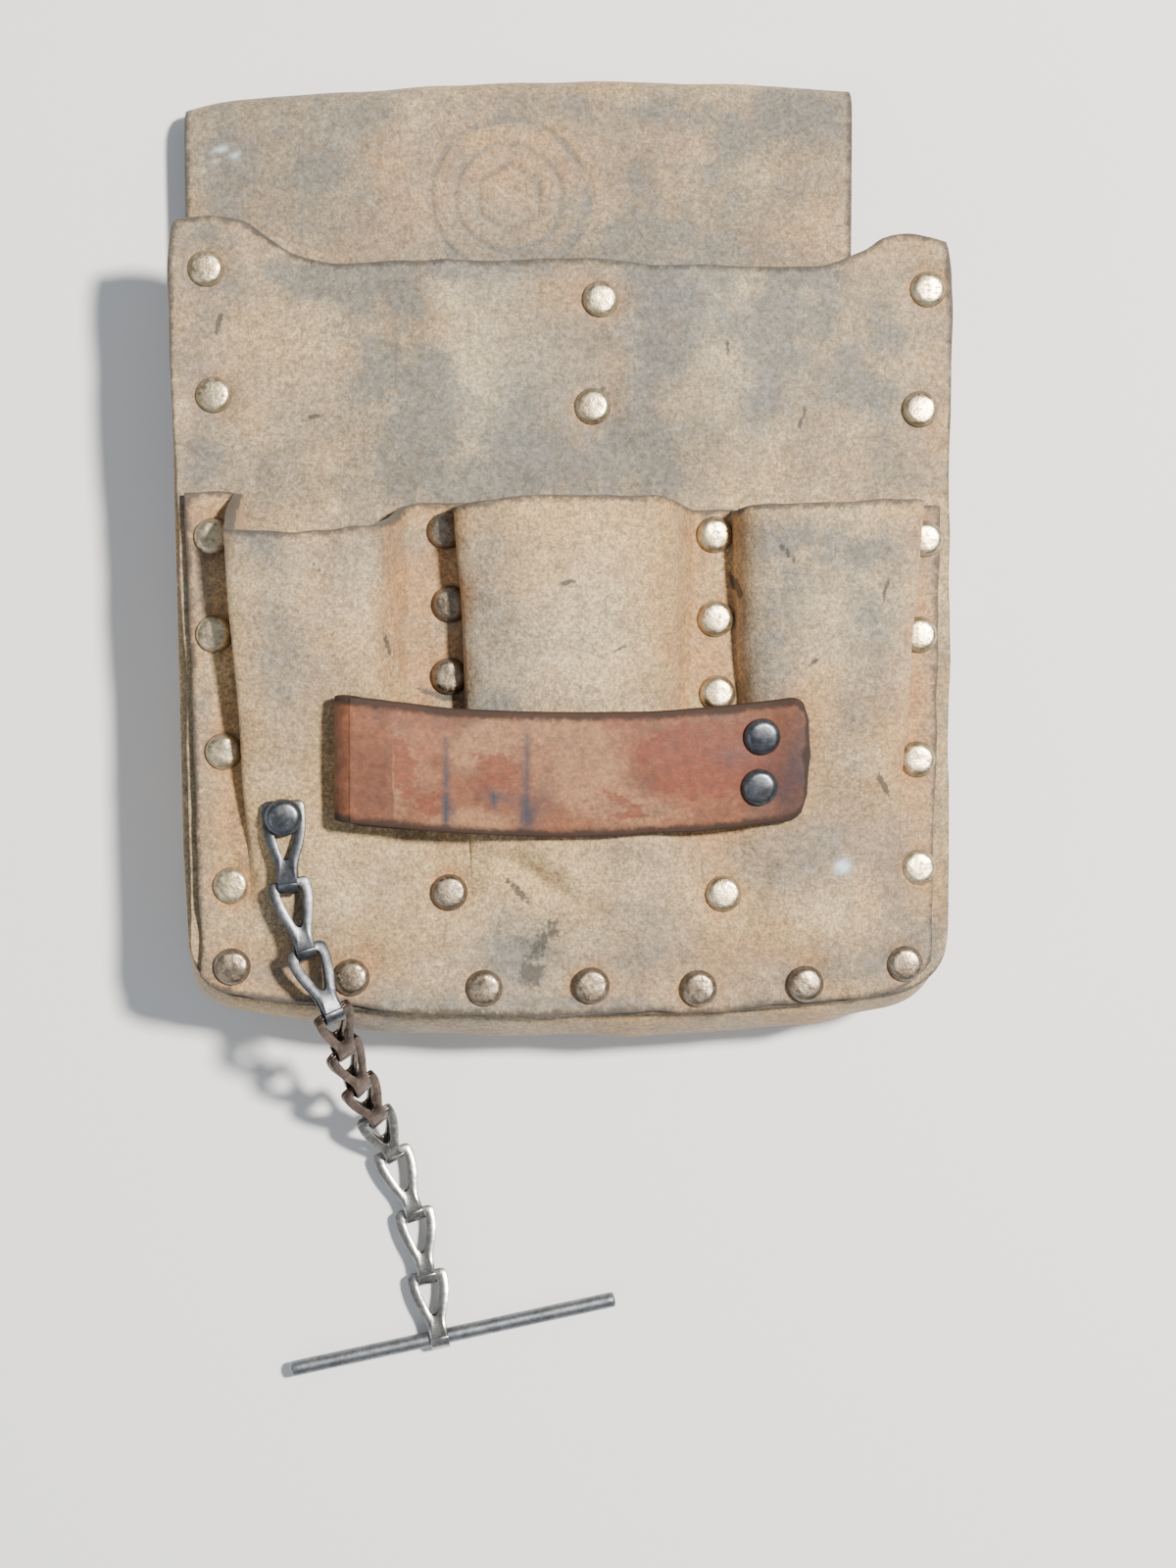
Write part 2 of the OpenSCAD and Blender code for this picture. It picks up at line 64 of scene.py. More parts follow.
def add_camera():
    """Nearly straight above, as far away as shows view_height at the pockets' level."""
    target, yaw = np.array([5.9, 67.3, POCKET_FACE]), radians(4.0)
    distance, view_height, sensor = 780.0, 405.0633, 36
    place = target + distance * np.array([-sin(yaw), 0, cos(yaw)])
    camera = bpy.data.objects.new("camera", bpy.data.cameras.new("camera"))
    camera.location = to_row(place)[0]
    camera.rotation_euler = (0, -yaw, 0)
    camera.data.sensor_fit = "VERTICAL"
    camera.data.sensor_height = sensor
    camera.data.lens = distance * sensor / view_height
    camera.data.clip_start = 0.01
    scene.collection.objects.link(camera)
    scene.camera = camera


def add_light(name, place, size, power, tint):
    """A round lamp, turned to the pouch's middle."""
    middle = Vector((0, -0.02, 0.02))
    data = bpy.data.lights.new(name, "AREA")
    data.shape = "DISK"
    data.size = size
    data.energy = power
    data.color = tint
    lamp = bpy.data.objects.new(name, data)
    lamp.location = place
    lamp.rotation_euler = (middle - Vector(place)).to_track_quat("-Z", "Y").to_euler()
    scene.collection.objects.link(lamp)


def add_stage():
    world = bpy.data.worlds.new("studio")
    world.use_nodes = True
    sky = world.node_tree.nodes["Background"]
    sky.inputs["Color"].default_value = (0.80, 0.89, 1.0, 1)
    sky.inputs["Strength"].default_value = 0.38
    scene.world = world
    add_light("key", (0.74, 0.33, 1.72), 0.2, 86, (1.0, 0.955, 0.875))
    add_light("fill", (-1.2, -0.9, 1.3), 1.4, 6, (0.86, 0.92, 1.0))
    mesh = bpy.data.meshes.new("floor")
    half = 4.0
    corners = [(-half, -half, 0), (half, -half, 0), (half, half, 0), (-half, half, 0)]
    mesh.from_pydata(corners, [], [(0, 1, 2, 3)])
    floor = bpy.data.objects.new("floor", mesh)
    scene.collection.objects.link(floor)
    paper = bpy.data.materials.new("floor_paper")
    paper.use_nodes = True
    surface = paper.node_tree.nodes["Principled BSDF"]
    surface.inputs["Base Color"].default_value = (0.9, 0.9, 0.9, 1)
    surface.inputs["Roughness"].default_value = 0.9
    mesh.materials.append(paper)


add_camera()
add_stage()


# ---- Small maths ----

def ease(t):
    """0 to 1 with a soft start and end."""
    t = np.clip(t, 0, 1)
    return t * t * (3 - 2 * t)


def mix(a, b, t):
    return a + (b - a) * t


def smooth(x, knots, column=1):
    """Monotone cubic through knots of (x, value, ...)."""
    k = np.asarray(knots, float)
    xs, ys = k[:, 0], k[:, column]
    step = np.diff(xs)
    rise = np.diff(ys) / step
    slope = np.empty(len(xs))
    slope[0], slope[-1] = rise[0], rise[-1]
    a, b = rise[:-1], rise[1:]
    slope[1:-1] = np.where(a * b > 0, 2 * a * b / np.where(np.abs(a + b) < 1e-9, 1, a + b), 0)
    x = np.clip(np.asarray(x, float), xs[0], xs[-1])
    i = np.clip(np.searchsorted(xs, x, side="right") - 1, 0, len(xs) - 2)
    h = step[i]
    t = (x - xs[i]) / h
    return ((2 * t ** 3 - 3 * t ** 2 + 1) * ys[i] + (t ** 3 - 2 * t ** 2 + t) * h * slope[i]
            + (3 * t ** 2 - 2 * t ** 3) * ys[i + 1] + (t ** 3 - t ** 2) * h * slope[i + 1])


def flowing(table, count):
    """Catmull-Rom through the rows of a table, count steps between two rows."""
    t = np.asarray(table, float)
    ends = np.vstack([2 * t[0] - t[1], t, 2 * t[-1] - t[-2]])
    rows = []
    for i in range(len(t) - 1):
        p0, p1, p2, p3 = ends[i:i + 4]
        for u in np.arange(count) / count:
            rows.append(0.5 * (2 * p1 + (p2 - p0) * u + (2 * p0 - 5 * p1 + 4 * p2 - p3) * u * u
                               + (3 * p1 - p0 - 3 * p2 + p3) * u ** 3))
    rows.append(t[-1])
    return np.array(rows)


def lattice(i, j, k):
    """A fixed value from -1 to 1 for each whole-numbered place."""
    n = (i * 374761393 + j * 668265263 + k * 2147483647) & 0xFFFFFFFF
    n = ((n ^ (n >> 13)) * 1274126177) & 0xFFFFFFFF
    return ((n ^ (n >> 16)) & 0xFFFF) / 32767.5 - 1


def noise(x, y, size, seed=0):
    """Smooth noise from -1 to 1 whose lumps are about size millimetres."""
    x, y = np.broadcast_arrays(np.asarray(x, float) / size, np.asarray(y, float) / size)
    i, j = np.floor(x).astype(np.int64), np.floor(y).astype(np.int64)
    u, v = ease(x - i), ease(y - j)
    k = np.int64(seed)
    return mix(mix(lattice(i, j, k), lattice(i + 1, j, k), u),
               mix(lattice(i, j + 1, k), lattice(i + 1, j + 1, k), u), v)


def spots(x, y, places):
    """Soft patches (x, y, half width, half height, strength, slant in degrees if any)."""
    total = np.zeros(np.broadcast(x, y).shape)
    for px, py, rx, ry, strength, *slant in places:
        a = radians(sum(slant))
        c, s = cos(a), sin(a)
        dx, dy = x - px, y - py
        total += strength * np.exp(-((c * dx + s * dy) / rx) ** 2 - ((c * dy - s * dx) / ry) ** 2)
    return total


def near(x, y, places, size, power=2):
    """How close a point is to the nearest of some places, 1 at one of them."""
    best = np.zeros(np.broadcast(x, y).shape)
    for p in places:
        d = np.hypot(x - p[0], y - p[1]) / size
        best = np.maximum(best, np.exp(-d ** power))
    return best


def marks(x, y, rows):
    """Sum of short lines (strength, x0, y0, x1, y1, width) that fade on both sides and at their ends."""
    total = 0
    for strength, x0, y0, x1, y1, width in rows:
        length = hypot(x1 - x0, y1 - y0)
        dx, dy = (x1 - x0) / length, (y1 - y0) / length
        along = ((x - x0) * dx + (y - y0) * dy) / length
        off = (y - y0) * dx - (x - x0) * dy
        ends = np.clip(np.sin(pi * np.clip(along, 0, 1)), 0, 1) ** 0.6
        total = total + strength * np.exp(-(off / width) ** 2) * ends
    return total


# ---- The pouch's outline, as in the part's source ----

def front_bottom(x, edge=97.0):
    """Height of the bottom edge, which sweeps up and ends in round corners."""
    swept = 8 + 7 * (np.abs(x) / 97.0) ** 2.5
    into = np.clip((np.abs(x) - (edge - 12)) / 12, 0, 1)
    return swept + 12 * (1 - np.sqrt(np.clip(1 - into * into, 0, 1)))


def bow(x, y):
    """How far the front and the pockets bulge out in the middle."""
    return 4 * np.clip(1 - (x / 84) ** 2, 0, None) ** 1.5 * ease((y - 24) / 96)


LEFT_EDGE = [(8, -95.5), (17, -96.4), (40, -96.4), (62, -96.9), (88, -97), (108, -98.4),
             (142, -99.4), (185, -101.4), (205, -101), (213, -100)]
RIGHT_EDGE = [(8, 98), (20, 100), (60, 100.6), (140, 100.9), (190, 101.2), (202, 100.6), (210, 99.4)]
FRONT_TOP = [(-101, 211.6), (-92, 212.2), (-83, 211.2), (-76, 207.4), (-68, 202.9), (-59, 200.7),
             (-41, 201.4), (-12, 202), (12, 202.3), (25, 201), (45, 201), (64, 201.4), (71, 203),
             (78, 206), (84, 209.6), (90, 210.6), (96, 209.4), (101, 207.6)]

UPPER_SIDE = [(-92.3, 199.7), (-90.3, 167.3), (95.1, 196.5), (93, 165.2)]
UPPER_CENTRE = [(9.1, 192.4), (7, 164.7)]
LEFT_SIDE = [(-90.5, 130.6), (-90, 105.7), (-87.7, 75.6), (-85.7, 41.3)]
RIGHT_SIDE = [(93.8, 131.1), (92.3, 106.1), (91.8, 73.7), (92, 45.6)]
LEFT_DIVIDER = [(-30.8, 132.2), (-29.7, 113.4), (-30, 94.9), (-29.9, 39.4)]
RIGHT_DIVIDER = [(38.4, 131.6), (38.6, 109.9), (39.2, 90.7), (41, 38.9)]
BOTTOM = [(-85.5, 20.5), (-55.1, 17.6), (-20.9, 14.7), (6.8, 15.2), (34.6, 14.4), (62.5, 15.4),
          (88.5, 20.5)]
UPPER_RIVETS = UPPER_SIDE + UPPER_CENTRE
POCKET_RIVETS = LEFT_SIDE + RIGHT_SIDE + LEFT_DIVIDER + RIGHT_DIVIDER + BOTTOM
STRAP_RIVETS = [(49.5, 79.4), (49, 66.5)]
TAIL_RIVETS = [(-32, 77.9), (-32, 63.9)]
TUNNEL_RIVETS = [(x, 181) for x in range(-78, 63, 35)]
BACK_RIVETS = [(-90, 150), (-89.5, 110), (-88.5, 70), (-86, 32), (-46, 17.5), (0, 15.5), (46, 17.5),
               (84, 32), (83, 70), (79.5, 110), (76, 150)]


# ---- Leather: a grid of points with a thickness and rounded cut edges ----

def normals_of(grid):
    """Unit normals of a grid of points, on the side of u x v."""
    du = np.gradient(grid, axis=1)
    dv = np.gradient(grid, axis=0)
    n = np.cross(du, dv)
    return n / np.maximum(np.linalg.norm(n, axis=2, keepdims=True), 1e-9)


def soften(field, times):
    """A grid of vectors, each one averaged with its neighbours."""
    for _ in range(times):
        f = np.pad(field, ((1, 1), (1, 1), (0, 0)), mode="edge")
        field = (4 * f[1:-1, 1:-1] + f[:-2, 1:-1] + f[2:, 1:-1] + f[1:-1, :-2] + f[1:-1, 2:]) / 8
    return field


def new_mesh(name, points, faces, channels):
    """A smooth mesh from millimetres; channels are per-point values a material reads."""
    mesh = bpy.data.meshes.new(name)
    mesh.from_pydata(to_row(points).tolist(), [], faces)
    for key, value in channels.items():
        layer = mesh.attributes.new(key, "FLOAT", "POINT")
        layer.data.foreach_set("value", np.asarray(value, np.float32))
    mesh.polygons.foreach_set("use_smooth", np.ones(len(mesh.polygons), bool))
    mesh.update()
    return mesh


def leather(name, face, thickness, material, slot, node, channels, proud=0.7, softening=2):
    """A sheet with rounded cut edges from the (rows, columns, 3) grid of its outer face.

    The grid's normal points away from the leather. Each edge stands proud of the grid.
    """
    rows, cols = face.shape[:2]
    n = soften(normals_of(face), softening)
    n /= np.linalg.norm(n, axis=2, keepdims=True)
    under = face - n * thickness
    loop = ([(0, j) for j in range(cols)] + [(i, cols - 1) for i in range(1, rows)]
            + [(rows - 1, j) for j in range(cols - 2, -1, -1)] + [(i, 0) for i in range(rows - 2, 0, -1)])
    li, lj = np.array(loop).T
    rim, rim_n = face[li, lj], n[li, lj]
    inner_i, inner_j = np.clip(li, 1, rows - 2), np.clip(lj, 1, cols - 2)
    out = rim - face[inner_i, inner_j]
    out -= rim_n * np.sum(out * rim_n, axis=1, keepdims=True)
    out /= np.maximum(np.linalg.norm(out, axis=1, keepdims=True), 1e-9)
    ring_count = 6
    rings = []
    for k in range(1, ring_count):
        a = pi * k / ring_count
        side = abs(sin(a)) ** 0.55
        level = copysign(abs(cos(a)) ** 0.8, cos(a))
        rings.append(rim - rim_n * (thickness / 2) * (1 - level) + out * proud * side)
    points = np.vstack([face.reshape(-1, 3)] + rings + [under.reshape(-1, 3)])
    size, length = rows * cols, len(loop)
    under_at = size + length * (ring_count - 1)
    i, j = np.meshgrid(np.arange(rows - 1), np.arange(cols - 1), indexing="ij")
    a = (i * cols + j).ravel()
    faces = np.stack([a, a + 1, a + cols + 1, a + cols], 1)
    loop_ids = li * cols + lj
    steps = [size + length * k + np.arange(length) for k in range(ring_count - 1)]
    steps = [loop_ids] + steps + [under_at + loop_ids]
    quads = [faces, faces[:, ::-1] + under_at]
    for upper, lower in zip(steps[:-1], steps[1:]):
        quads.append(np.stack([upper, lower, np.roll(lower, -1), np.roll(upper, -1)], 1))
    edges = (face[:1], face[-1:], face[:, :1], face[:, -1:])
    edge_gap = np.min([np.linalg.norm(face - line, axis=2) for line in edges], axis=0)
    near_edge = 0.6 * np.exp(-(edge_gap / 1.2) ** 2).ravel()
    edge_dirt = np.array([0.7, 0.95, 1, 1, 0.8]).repeat(length)
    values = {"rim": np.concatenate([near_edge, edge_dirt, near_edge])}
    for key, value in channels.items():
        v = np.broadcast_to(np.clip(value, 0, 1), (rows, cols))
        values[key] = np.concatenate([v.ravel(), np.tile(v[li, lj], ring_count - 1), v.ravel()])
    across = np.linspace(0, 1, ring_count - 1).repeat(length)
    values["inside"] = np.concatenate([np.zeros(size), across, np.ones(size)])
    place(name, new_mesh(name, points, np.vstack(quads).tolist(), values), material, slot, "pouch", [node])


def body_sheet(name, node, face, thickness, grime_and_shade, tan, ink=0, paint=0, light=0, **shape):
    """A sheet of the pouch's own leather."""
    # grime_and_shade is grime with painted shade, tan is tan with a painted lit side, and light is painted
    # light
    channels = {"grime_and_shade": grime_and_shade, "tan": tan, "ink": ink, "paint": paint, "light": light}
    leather(name, face, thickness, LEATHER, "body_leather", node, channels, **shape)


def place(name, mesh, material, slot, body, replaces):
    """Puts a piece into the scene, on its body and in its nodes' place."""
    mesh.materials.append(material)
    obj = bpy.data.objects.new(name, mesh)
    scene.collection.objects.link(obj)
    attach(obj, body)
    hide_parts(*replaces)


# ---- Materials ----

class Shader:
    """A short way to wire a node material. Colours and values may be sockets."""

    def __init__(self, name):
        self.material = bpy.data.materials.new(name)
        self.material.use_nodes = True
        self.tree = self.material.node_tree
        self.out = self.tree.nodes["Principled BSDF"]
        self.coords = self.node("TexCoord").outputs["Object"]
        self.base = None

    def node(self, kind, inputs=None, **settings):
        n = self.tree.nodes.new("ShaderNode" + kind)
        for key, value in settings.items():
            setattr(n, key, value)
        for key, value in (inputs or {}).items():
            self.put(n.inputs[key], value)
        return n

    def put(self, socket, value):
        if isinstance(value, bpy.types.NodeSocket):
            self.tree.links.new(value, socket)
        elif isinstance(value, (tuple, list)) and len(value) == 3 and socket.type == "RGBA":
            socket.default_value = (*value, 1)
        else:
            socket.default_value = value

    def channel(self, name):
        return self.node("Attribute", attribute_name=name).outputs["Fac"]

    def noise(self, scale, detail, rough, stretch=None, shift=None):
        vector = self.coords
        if stretch or shift:
            settings = {"Vector": vector, "Scale": stretch or (1, 1, 1), "Location": shift or (0, 0, 0)}
            vector = self.node("Mapping", settings).outputs["Vector"]
        settings = {"Vector": vector, "Scale": scale, "Detail": detail, "Roughness": rough}
        return self.node("TexNoise", settings).outputs["Fac"]

    def pebble(self, scale):
        """Distance from the middle of the nearest grain."""
        settings = {"Vector": self.coords, "Scale": scale}
        return self.node("TexVoronoi", settings, feature="F1").outputs["Distance"]

    def ramp(self, value, low, high):
        """0 at low and 1 at high, with a soft start and end."""
        settings = {"Value": value, "From Min": low, "From Max": high}
        return self.node("MapRange", settings, interpolation_type="SMOOTHSTEP").outputs["Result"]

    def maths(self, operation, a, b=0.0):
        n = self.node("Math", operation=operation)
        self.put(n.inputs[0], a)
        self.put(n.inputs[1], b)
        return n.outputs[0]

    def times(self, a, b):
        return self.maths("MULTIPLY", a, b)

    def centred(self, value):
        return self.maths("SUBTRACT", value, 0.5)

    def blend(self, share, a, b, kind="MIX"):
        n = self.node("Mix", data_type="RGBA", blend_type=kind)
        self.put(n.inputs["Factor"], share)
        self.put(n.inputs["A"], a)
        self.put(n.inputs["B"], b)
        return n.outputs["Result"]

    def over(self, share, strength, colour):
        """Lays a colour over the base, where share says and as strongly as strength."""
        self.base = self.blend(self.times(share, strength), self.base, colour)

    def overlay(self, share, grain):
        """Lightens and darkens the base with a grain."""
        self.base = self.blend(share, self.base, grain, "OVERLAY")

    def bumps(self, layers):
        """Bump from a list of (height, strength, distance)."""
        normal = None
        for height, strength, distance in layers:
            n = self.node("Bump", {"Height": height, "Strength": strength, "Distance": distance})
            if normal is not None:
                self.put(n.inputs["Normal"], normal)
            normal = n.outputs["Normal"]
        self.put(self.out.inputs["Normal"], normal)

    def finish(self, **values):
        values["Base_Color"] = self.base
        for key, value in values.items():
            self.put(self.out.inputs[key.replace("_", " ")], value)
        return self.material


def body_leather():
    """Pale, dirty leather: soft tones first, then painted light, tan with a painted lit side, grime with
    painted shade, stains, grain, scars, ink and dark edges.
    """
    s = Shader("worn_leather")
    cloud = s.noise(15, 5, 0.55)
    cloth = s.noise(60, 8, 0.6, shift=(3, 1, 0))
    fine = s.noise(300, 8, 0.72, shift=(4, 4, 4))
    s.base = s.blend(s.ramp(cloud, 0.36, 0.64), (0.62, 0.425, 0.205), (0.41, 0.28, 0.14))
    s.over(s.ramp(cloth, 0.46, 0.68), 0.42, (0.86, 0.68, 0.4))
    dusk = s.ramp(s.noise(17, 5, 0.55, shift=(6, 3, 1)), 0.46, 0.66)
    s.over(dusk, 0.6, (0.25, 0.255, 0.225))
    warm = s.ramp(s.noise(26, 6, 0.6, shift=(0, 7, 2)), 0.5, 0.68)
    s.over(warm, 0.5, (0.56, 0.285, 0.09))
    # painted light: pale cream on the lit sides of folds and pocket faces, where the light channel says
    painted_light = s.times(s.channel("light"), s.ramp(s.noise(50, 6, 0.6, shift=(2, 6, 8)), 0.2, 0.6))
    s.over(painted_light, 0.6, (0.88, 0.69, 0.39))
    # tan round the rivets, and a painted lit side on the pockets' right-hand slopes
    tan = s.times(s.channel("tan"), s.ramp(s.noise(90, 7, 0.6), 0.2, 0.6))
    s.over(tan, 0.8, (0.47, 0.225, 0.068))
    # blue-grey grime, with painted shade in the front's fold valleys and on the pockets' left-hand sides
    grime_and_shade = s.times(s.channel("grime_and_shade"), s.ramp(s.noise(60, 9, 0.66, shift=(1, 0, 5)), 0.16, 0.74))
    s.base = s.blend(s.maths("MINIMUM", s.times(grime_and_shade, 1.45), 0.85), s.base, (0.14, 0.155, 0.155))
    smear = s.ramp(s.noise(48, 9, 0.72, stretch=(2.2, 0.8, 1), shift=(9, 2, 0)), 0.56, 0.7)
    s.over(smear, 0.4, (0.17, 0.155, 0.13))
    s.overlay(0.18, s.ramp(fine, 0.3, 0.7))
    pebble = s.pebble(1350.0)
    s.over(s.ramp(pebble, 0.3, 0.72), 0.5, (0.17, 0.12, 0.07))
    s.overlay(0.36, s.ramp(s.noise(720, 5, 0.8, shift=(7, 1, 4)), 0.3, 0.7))
    speck = s.ramp(s.noise(900, 3, 0.7), 0.62, 0.7)
    s.over(speck, 0.4, (0.14, 0.105, 0.08))
    vein = s.maths("ABSOLUTE", s.centred(s.noise(55, 5, 0.62, shift=(8, 8, 2))))
    patch = s.ramp(s.noise(36, 3, 0.5, shift=(5, 0, 9)), 0.5, 0.62)
    vein = s.times(s.maths("SUBTRACT", 1.0, s.ramp(vein, 0.0, 0.016)), patch)
    scratch = s.ramp(s.noise(60, 3, 0.5, stretch=(9, 1, 3), shift=(2, 4, 1)), 0.69, 0.72)
    scar = s.maths("MAXIMUM", scratch, vein)
    s.over(scar, 0.42, (0.14, 0.105, 0.08))
    torn = s.centred(s.noise(330, 8, 0.75))
    ink = s.ramp(s.maths("ADD", s.channel("ink"), s.times(torn, 2.0)), 0.48, 0.78)
    s.over(ink, 0.85, (0.06, 0.052, 0.045))
    s.base = s.blend(s.channel("paint"), s.base, (0.66, 0.74, 0.78))
    pale = s.blend(s.ramp(cloth, 0.35, 0.7), (0.42, 0.28, 0.16), (0.28, 0.17, 0.09))
    s.over(s.channel("inside"), 0.9, pale)
    edge = s.ramp(s.maths("ADD", s.channel("rim"), s.times(torn, 1.7)), 0.12, 0.7)
    s.over(edge, 0.88, (0.06, 0.05, 0.042))
    s.bumps([(s.noise(60, 6, 0.58), 0.85, 0.0022), (fine, 0.35, 0.0006), (pebble, -1.0, 0.0009),
             (s.noise(1300, 5, 0.75), 0.35, 0.0004), (scar, -0.5, 0.0006)])
    rough = s.maths("SUBTRACT", 0.82, s.times(tan, 0.24))
    return s.finish(Roughness=rough, Specular_IOR_Level=0.38, Sheen_Weight=0.08,
                    Sheen_Roughness=0.5)


def strap_leather():
    """Red-brown leather, worn pale in patches, with sooty stains and black edges."""
    s = Shader("strap_leather")
    ragged = s.noise(190, 9, 0.72, stretch=(0.8, 1.3, 1))
    s.base = s.blend(s.ramp(s.noise(60, 8, 0.65), 0.38, 0.62), (0.235, 0.082, 0.035), (0.13, 0.045, 0.021))
    worn = s.maths("ADD", s.channel("worn"), s.centred(ragged))
    s.over(s.ramp(worn, 0.22, 0.62), 0.8, (0.33, 0.165, 0.08))
    red = s.maths("ADD", s.channel("red"), s.times(s.centred(ragged), 2.2))
    s.over(s.ramp(red, 0.36, 0.62), 0.8, (0.17, 0.038, 0.017))
    soot = s.ramp(s.noise(80, 9, 0.72, shift=(3, 7, 0)), 0.52, 0.68)
    s.over(soot, 0.5, (0.1, 0.06, 0.045))
    s.overlay(0.3, s.ramp(s.noise(500, 7, 0.75, shift=(1, 1, 6)), 0.28, 0.72))
    pebble = s.pebble(1000.0)
    s.over(s.ramp(pebble, 0.34, 0.72), 0.3, (0.09, 0.045, 0.03))
    streak = s.ramp(s.noise(220, 6, 0.65, stretch=(1, 4, 1), shift=(4, 0, 0)), 0.58, 0.72)
    s.over(streak, 0.3, (0.13, 0.05, 0.03))
    stain = s.times(s.channel("stain"), s.ramp(s.noise(260, 7, 0.7), 0.22, 0.5))
    s.base = s.blend(stain, s.base, (0.03, 0.033, 0.045))
    pale = s.blend(s.ramp(s.noise(150, 6, 0.7), 0.35, 0.7), (0.38, 0.24, 0.15), (0.22, 0.12, 0.07))
    s.over(s.channel("inside"), 0.8, pale)
    edge = s.ramp(s.maths("ADD", s.channel("rim"), s.centred(s.noise(300, 7, 0.75))), 0.0, 0.5)
    s.over(edge, 0.92, (0.03, 0.018, 0.013))
    nick = s.ramp(s.noise(500, 4, 0.7, shift=(5, 5, 0)), 0.64, 0.72)
    s.over(nick, 0.5, (0.06, 0.035, 0.025))
    s.bumps([(s.noise(90, 6, 0.6), 0.4, 0.001), (pebble, -0.6, 0.0005),
             (s.noise(1500, 4, 0.7), 0.3, 0.0003), (streak, -0.25, 0.0003), (edge, -0.3, 0.0005)])
    rough = s.maths("ADD", s.times(edge, 0.22), s.maths("ADD", 0.42, s.times(ragged, 0.3)))
    return s.finish(Roughness=rough, Specular_IOR_Level=0.32)


def worn_metal(name, light, dark, tarnish, amount, rough_low, rough_high, dents=0.1):
    """Metal with tarnish spots and dirt with painted rim shade, both rougher and less metallic than the
    rest.
    """
    s = Shader(name)
    cloud = s.noise(260, 6, 0.65)
    s.base = s.blend(s.ramp(cloud, 0.3, 0.7), light, dark)
    spot = s.ramp(s.noise(700, 7, 0.72, shift=(2, 8, 3)), 0.62 - amount, 0.78 - amount)
    s.over(spot, 0.75, tarnish)
    s.overlay(0.3, s.ramp(s.noise(900, 6, 0.75, shift=(6, 2, 1)), 0.28, 0.72))
    # dirt, with painted shade on the rivet heads' rims
    ring = s.channel("dirt_and_rim_shade")
    s.over(ring, s.ramp(s.noise(500, 5, 0.7), 0.1, 0.6), (0.06, 0.045, 0.035))
    line = s.ramp(s.noise(300, 3, 0.6, stretch=(8, 1, 1)), 0.6, 0.7)
    dull = s.maths("MAXIMUM", spot, ring)
    rough = s.maths("ADD", rough_low, s.times(dull, rough_high - rough_low))
    s.bumps([(s.noise(420, 6, 0.65), dents, 0.0005), (line, -0.2, 0.0001), (spot, -0.3, 0.00015)])
    metal = s.maths("SUBTRACT", 1.0, s.times(dull, 0.55))
    return s.finish(Metallic=metal, Roughness=rough)


LEATHER = body_leather()
STRAP = strap_leather()
NICKEL = worn_metal("nickel", (0.78, 0.65, 0.44), (0.42, 0.33, 0.2), (0.24, 0.15, 0.08),
                    0.12, 0.3, 0.6, 0.35)
# darker nickel: patina on the bottom row and burrs, and painted shade on the left divider's rivets
DULL_AND_SHADED_NICKEL = worn_metal("dull_and_shaded_nickel", (0.4, 0.32, 0.235), (0.2, 0.155, 0.11), (0.12, 0.07, 0.04),
                         0.13, 0.3, 0.62, 0.3)
DARK_STEEL = worn_metal("dark_steel", (0.15, 0.16, 0.18), (0.07, 0.072, 0.08), (0.075, 0.05, 0.035),
                        0.07, 0.34, 0.58)
BROWN_STEEL = worn_metal("brown_steel", (0.15, 0.11, 0.09), (0.06, 0.043, 0.036), (0.06, 0.033, 0.02),
                         0.05, 0.24, 0.5)
SILVER_STEEL = worn_metal("silver_steel", (0.42, 0.41, 0.385), (0.24, 0.235, 0.22), (0.14, 0.1, 0.07),
                          0.05, 0.2, 0.45)
BAR_STEEL = worn_metal("bar_steel", (0.24, 0.255, 0.275), (0.15, 0.16, 0.175), (0.13, 0.08, 0.055),
                       0.05, 0.44, 0.66)


# ---- Leather pieces ----

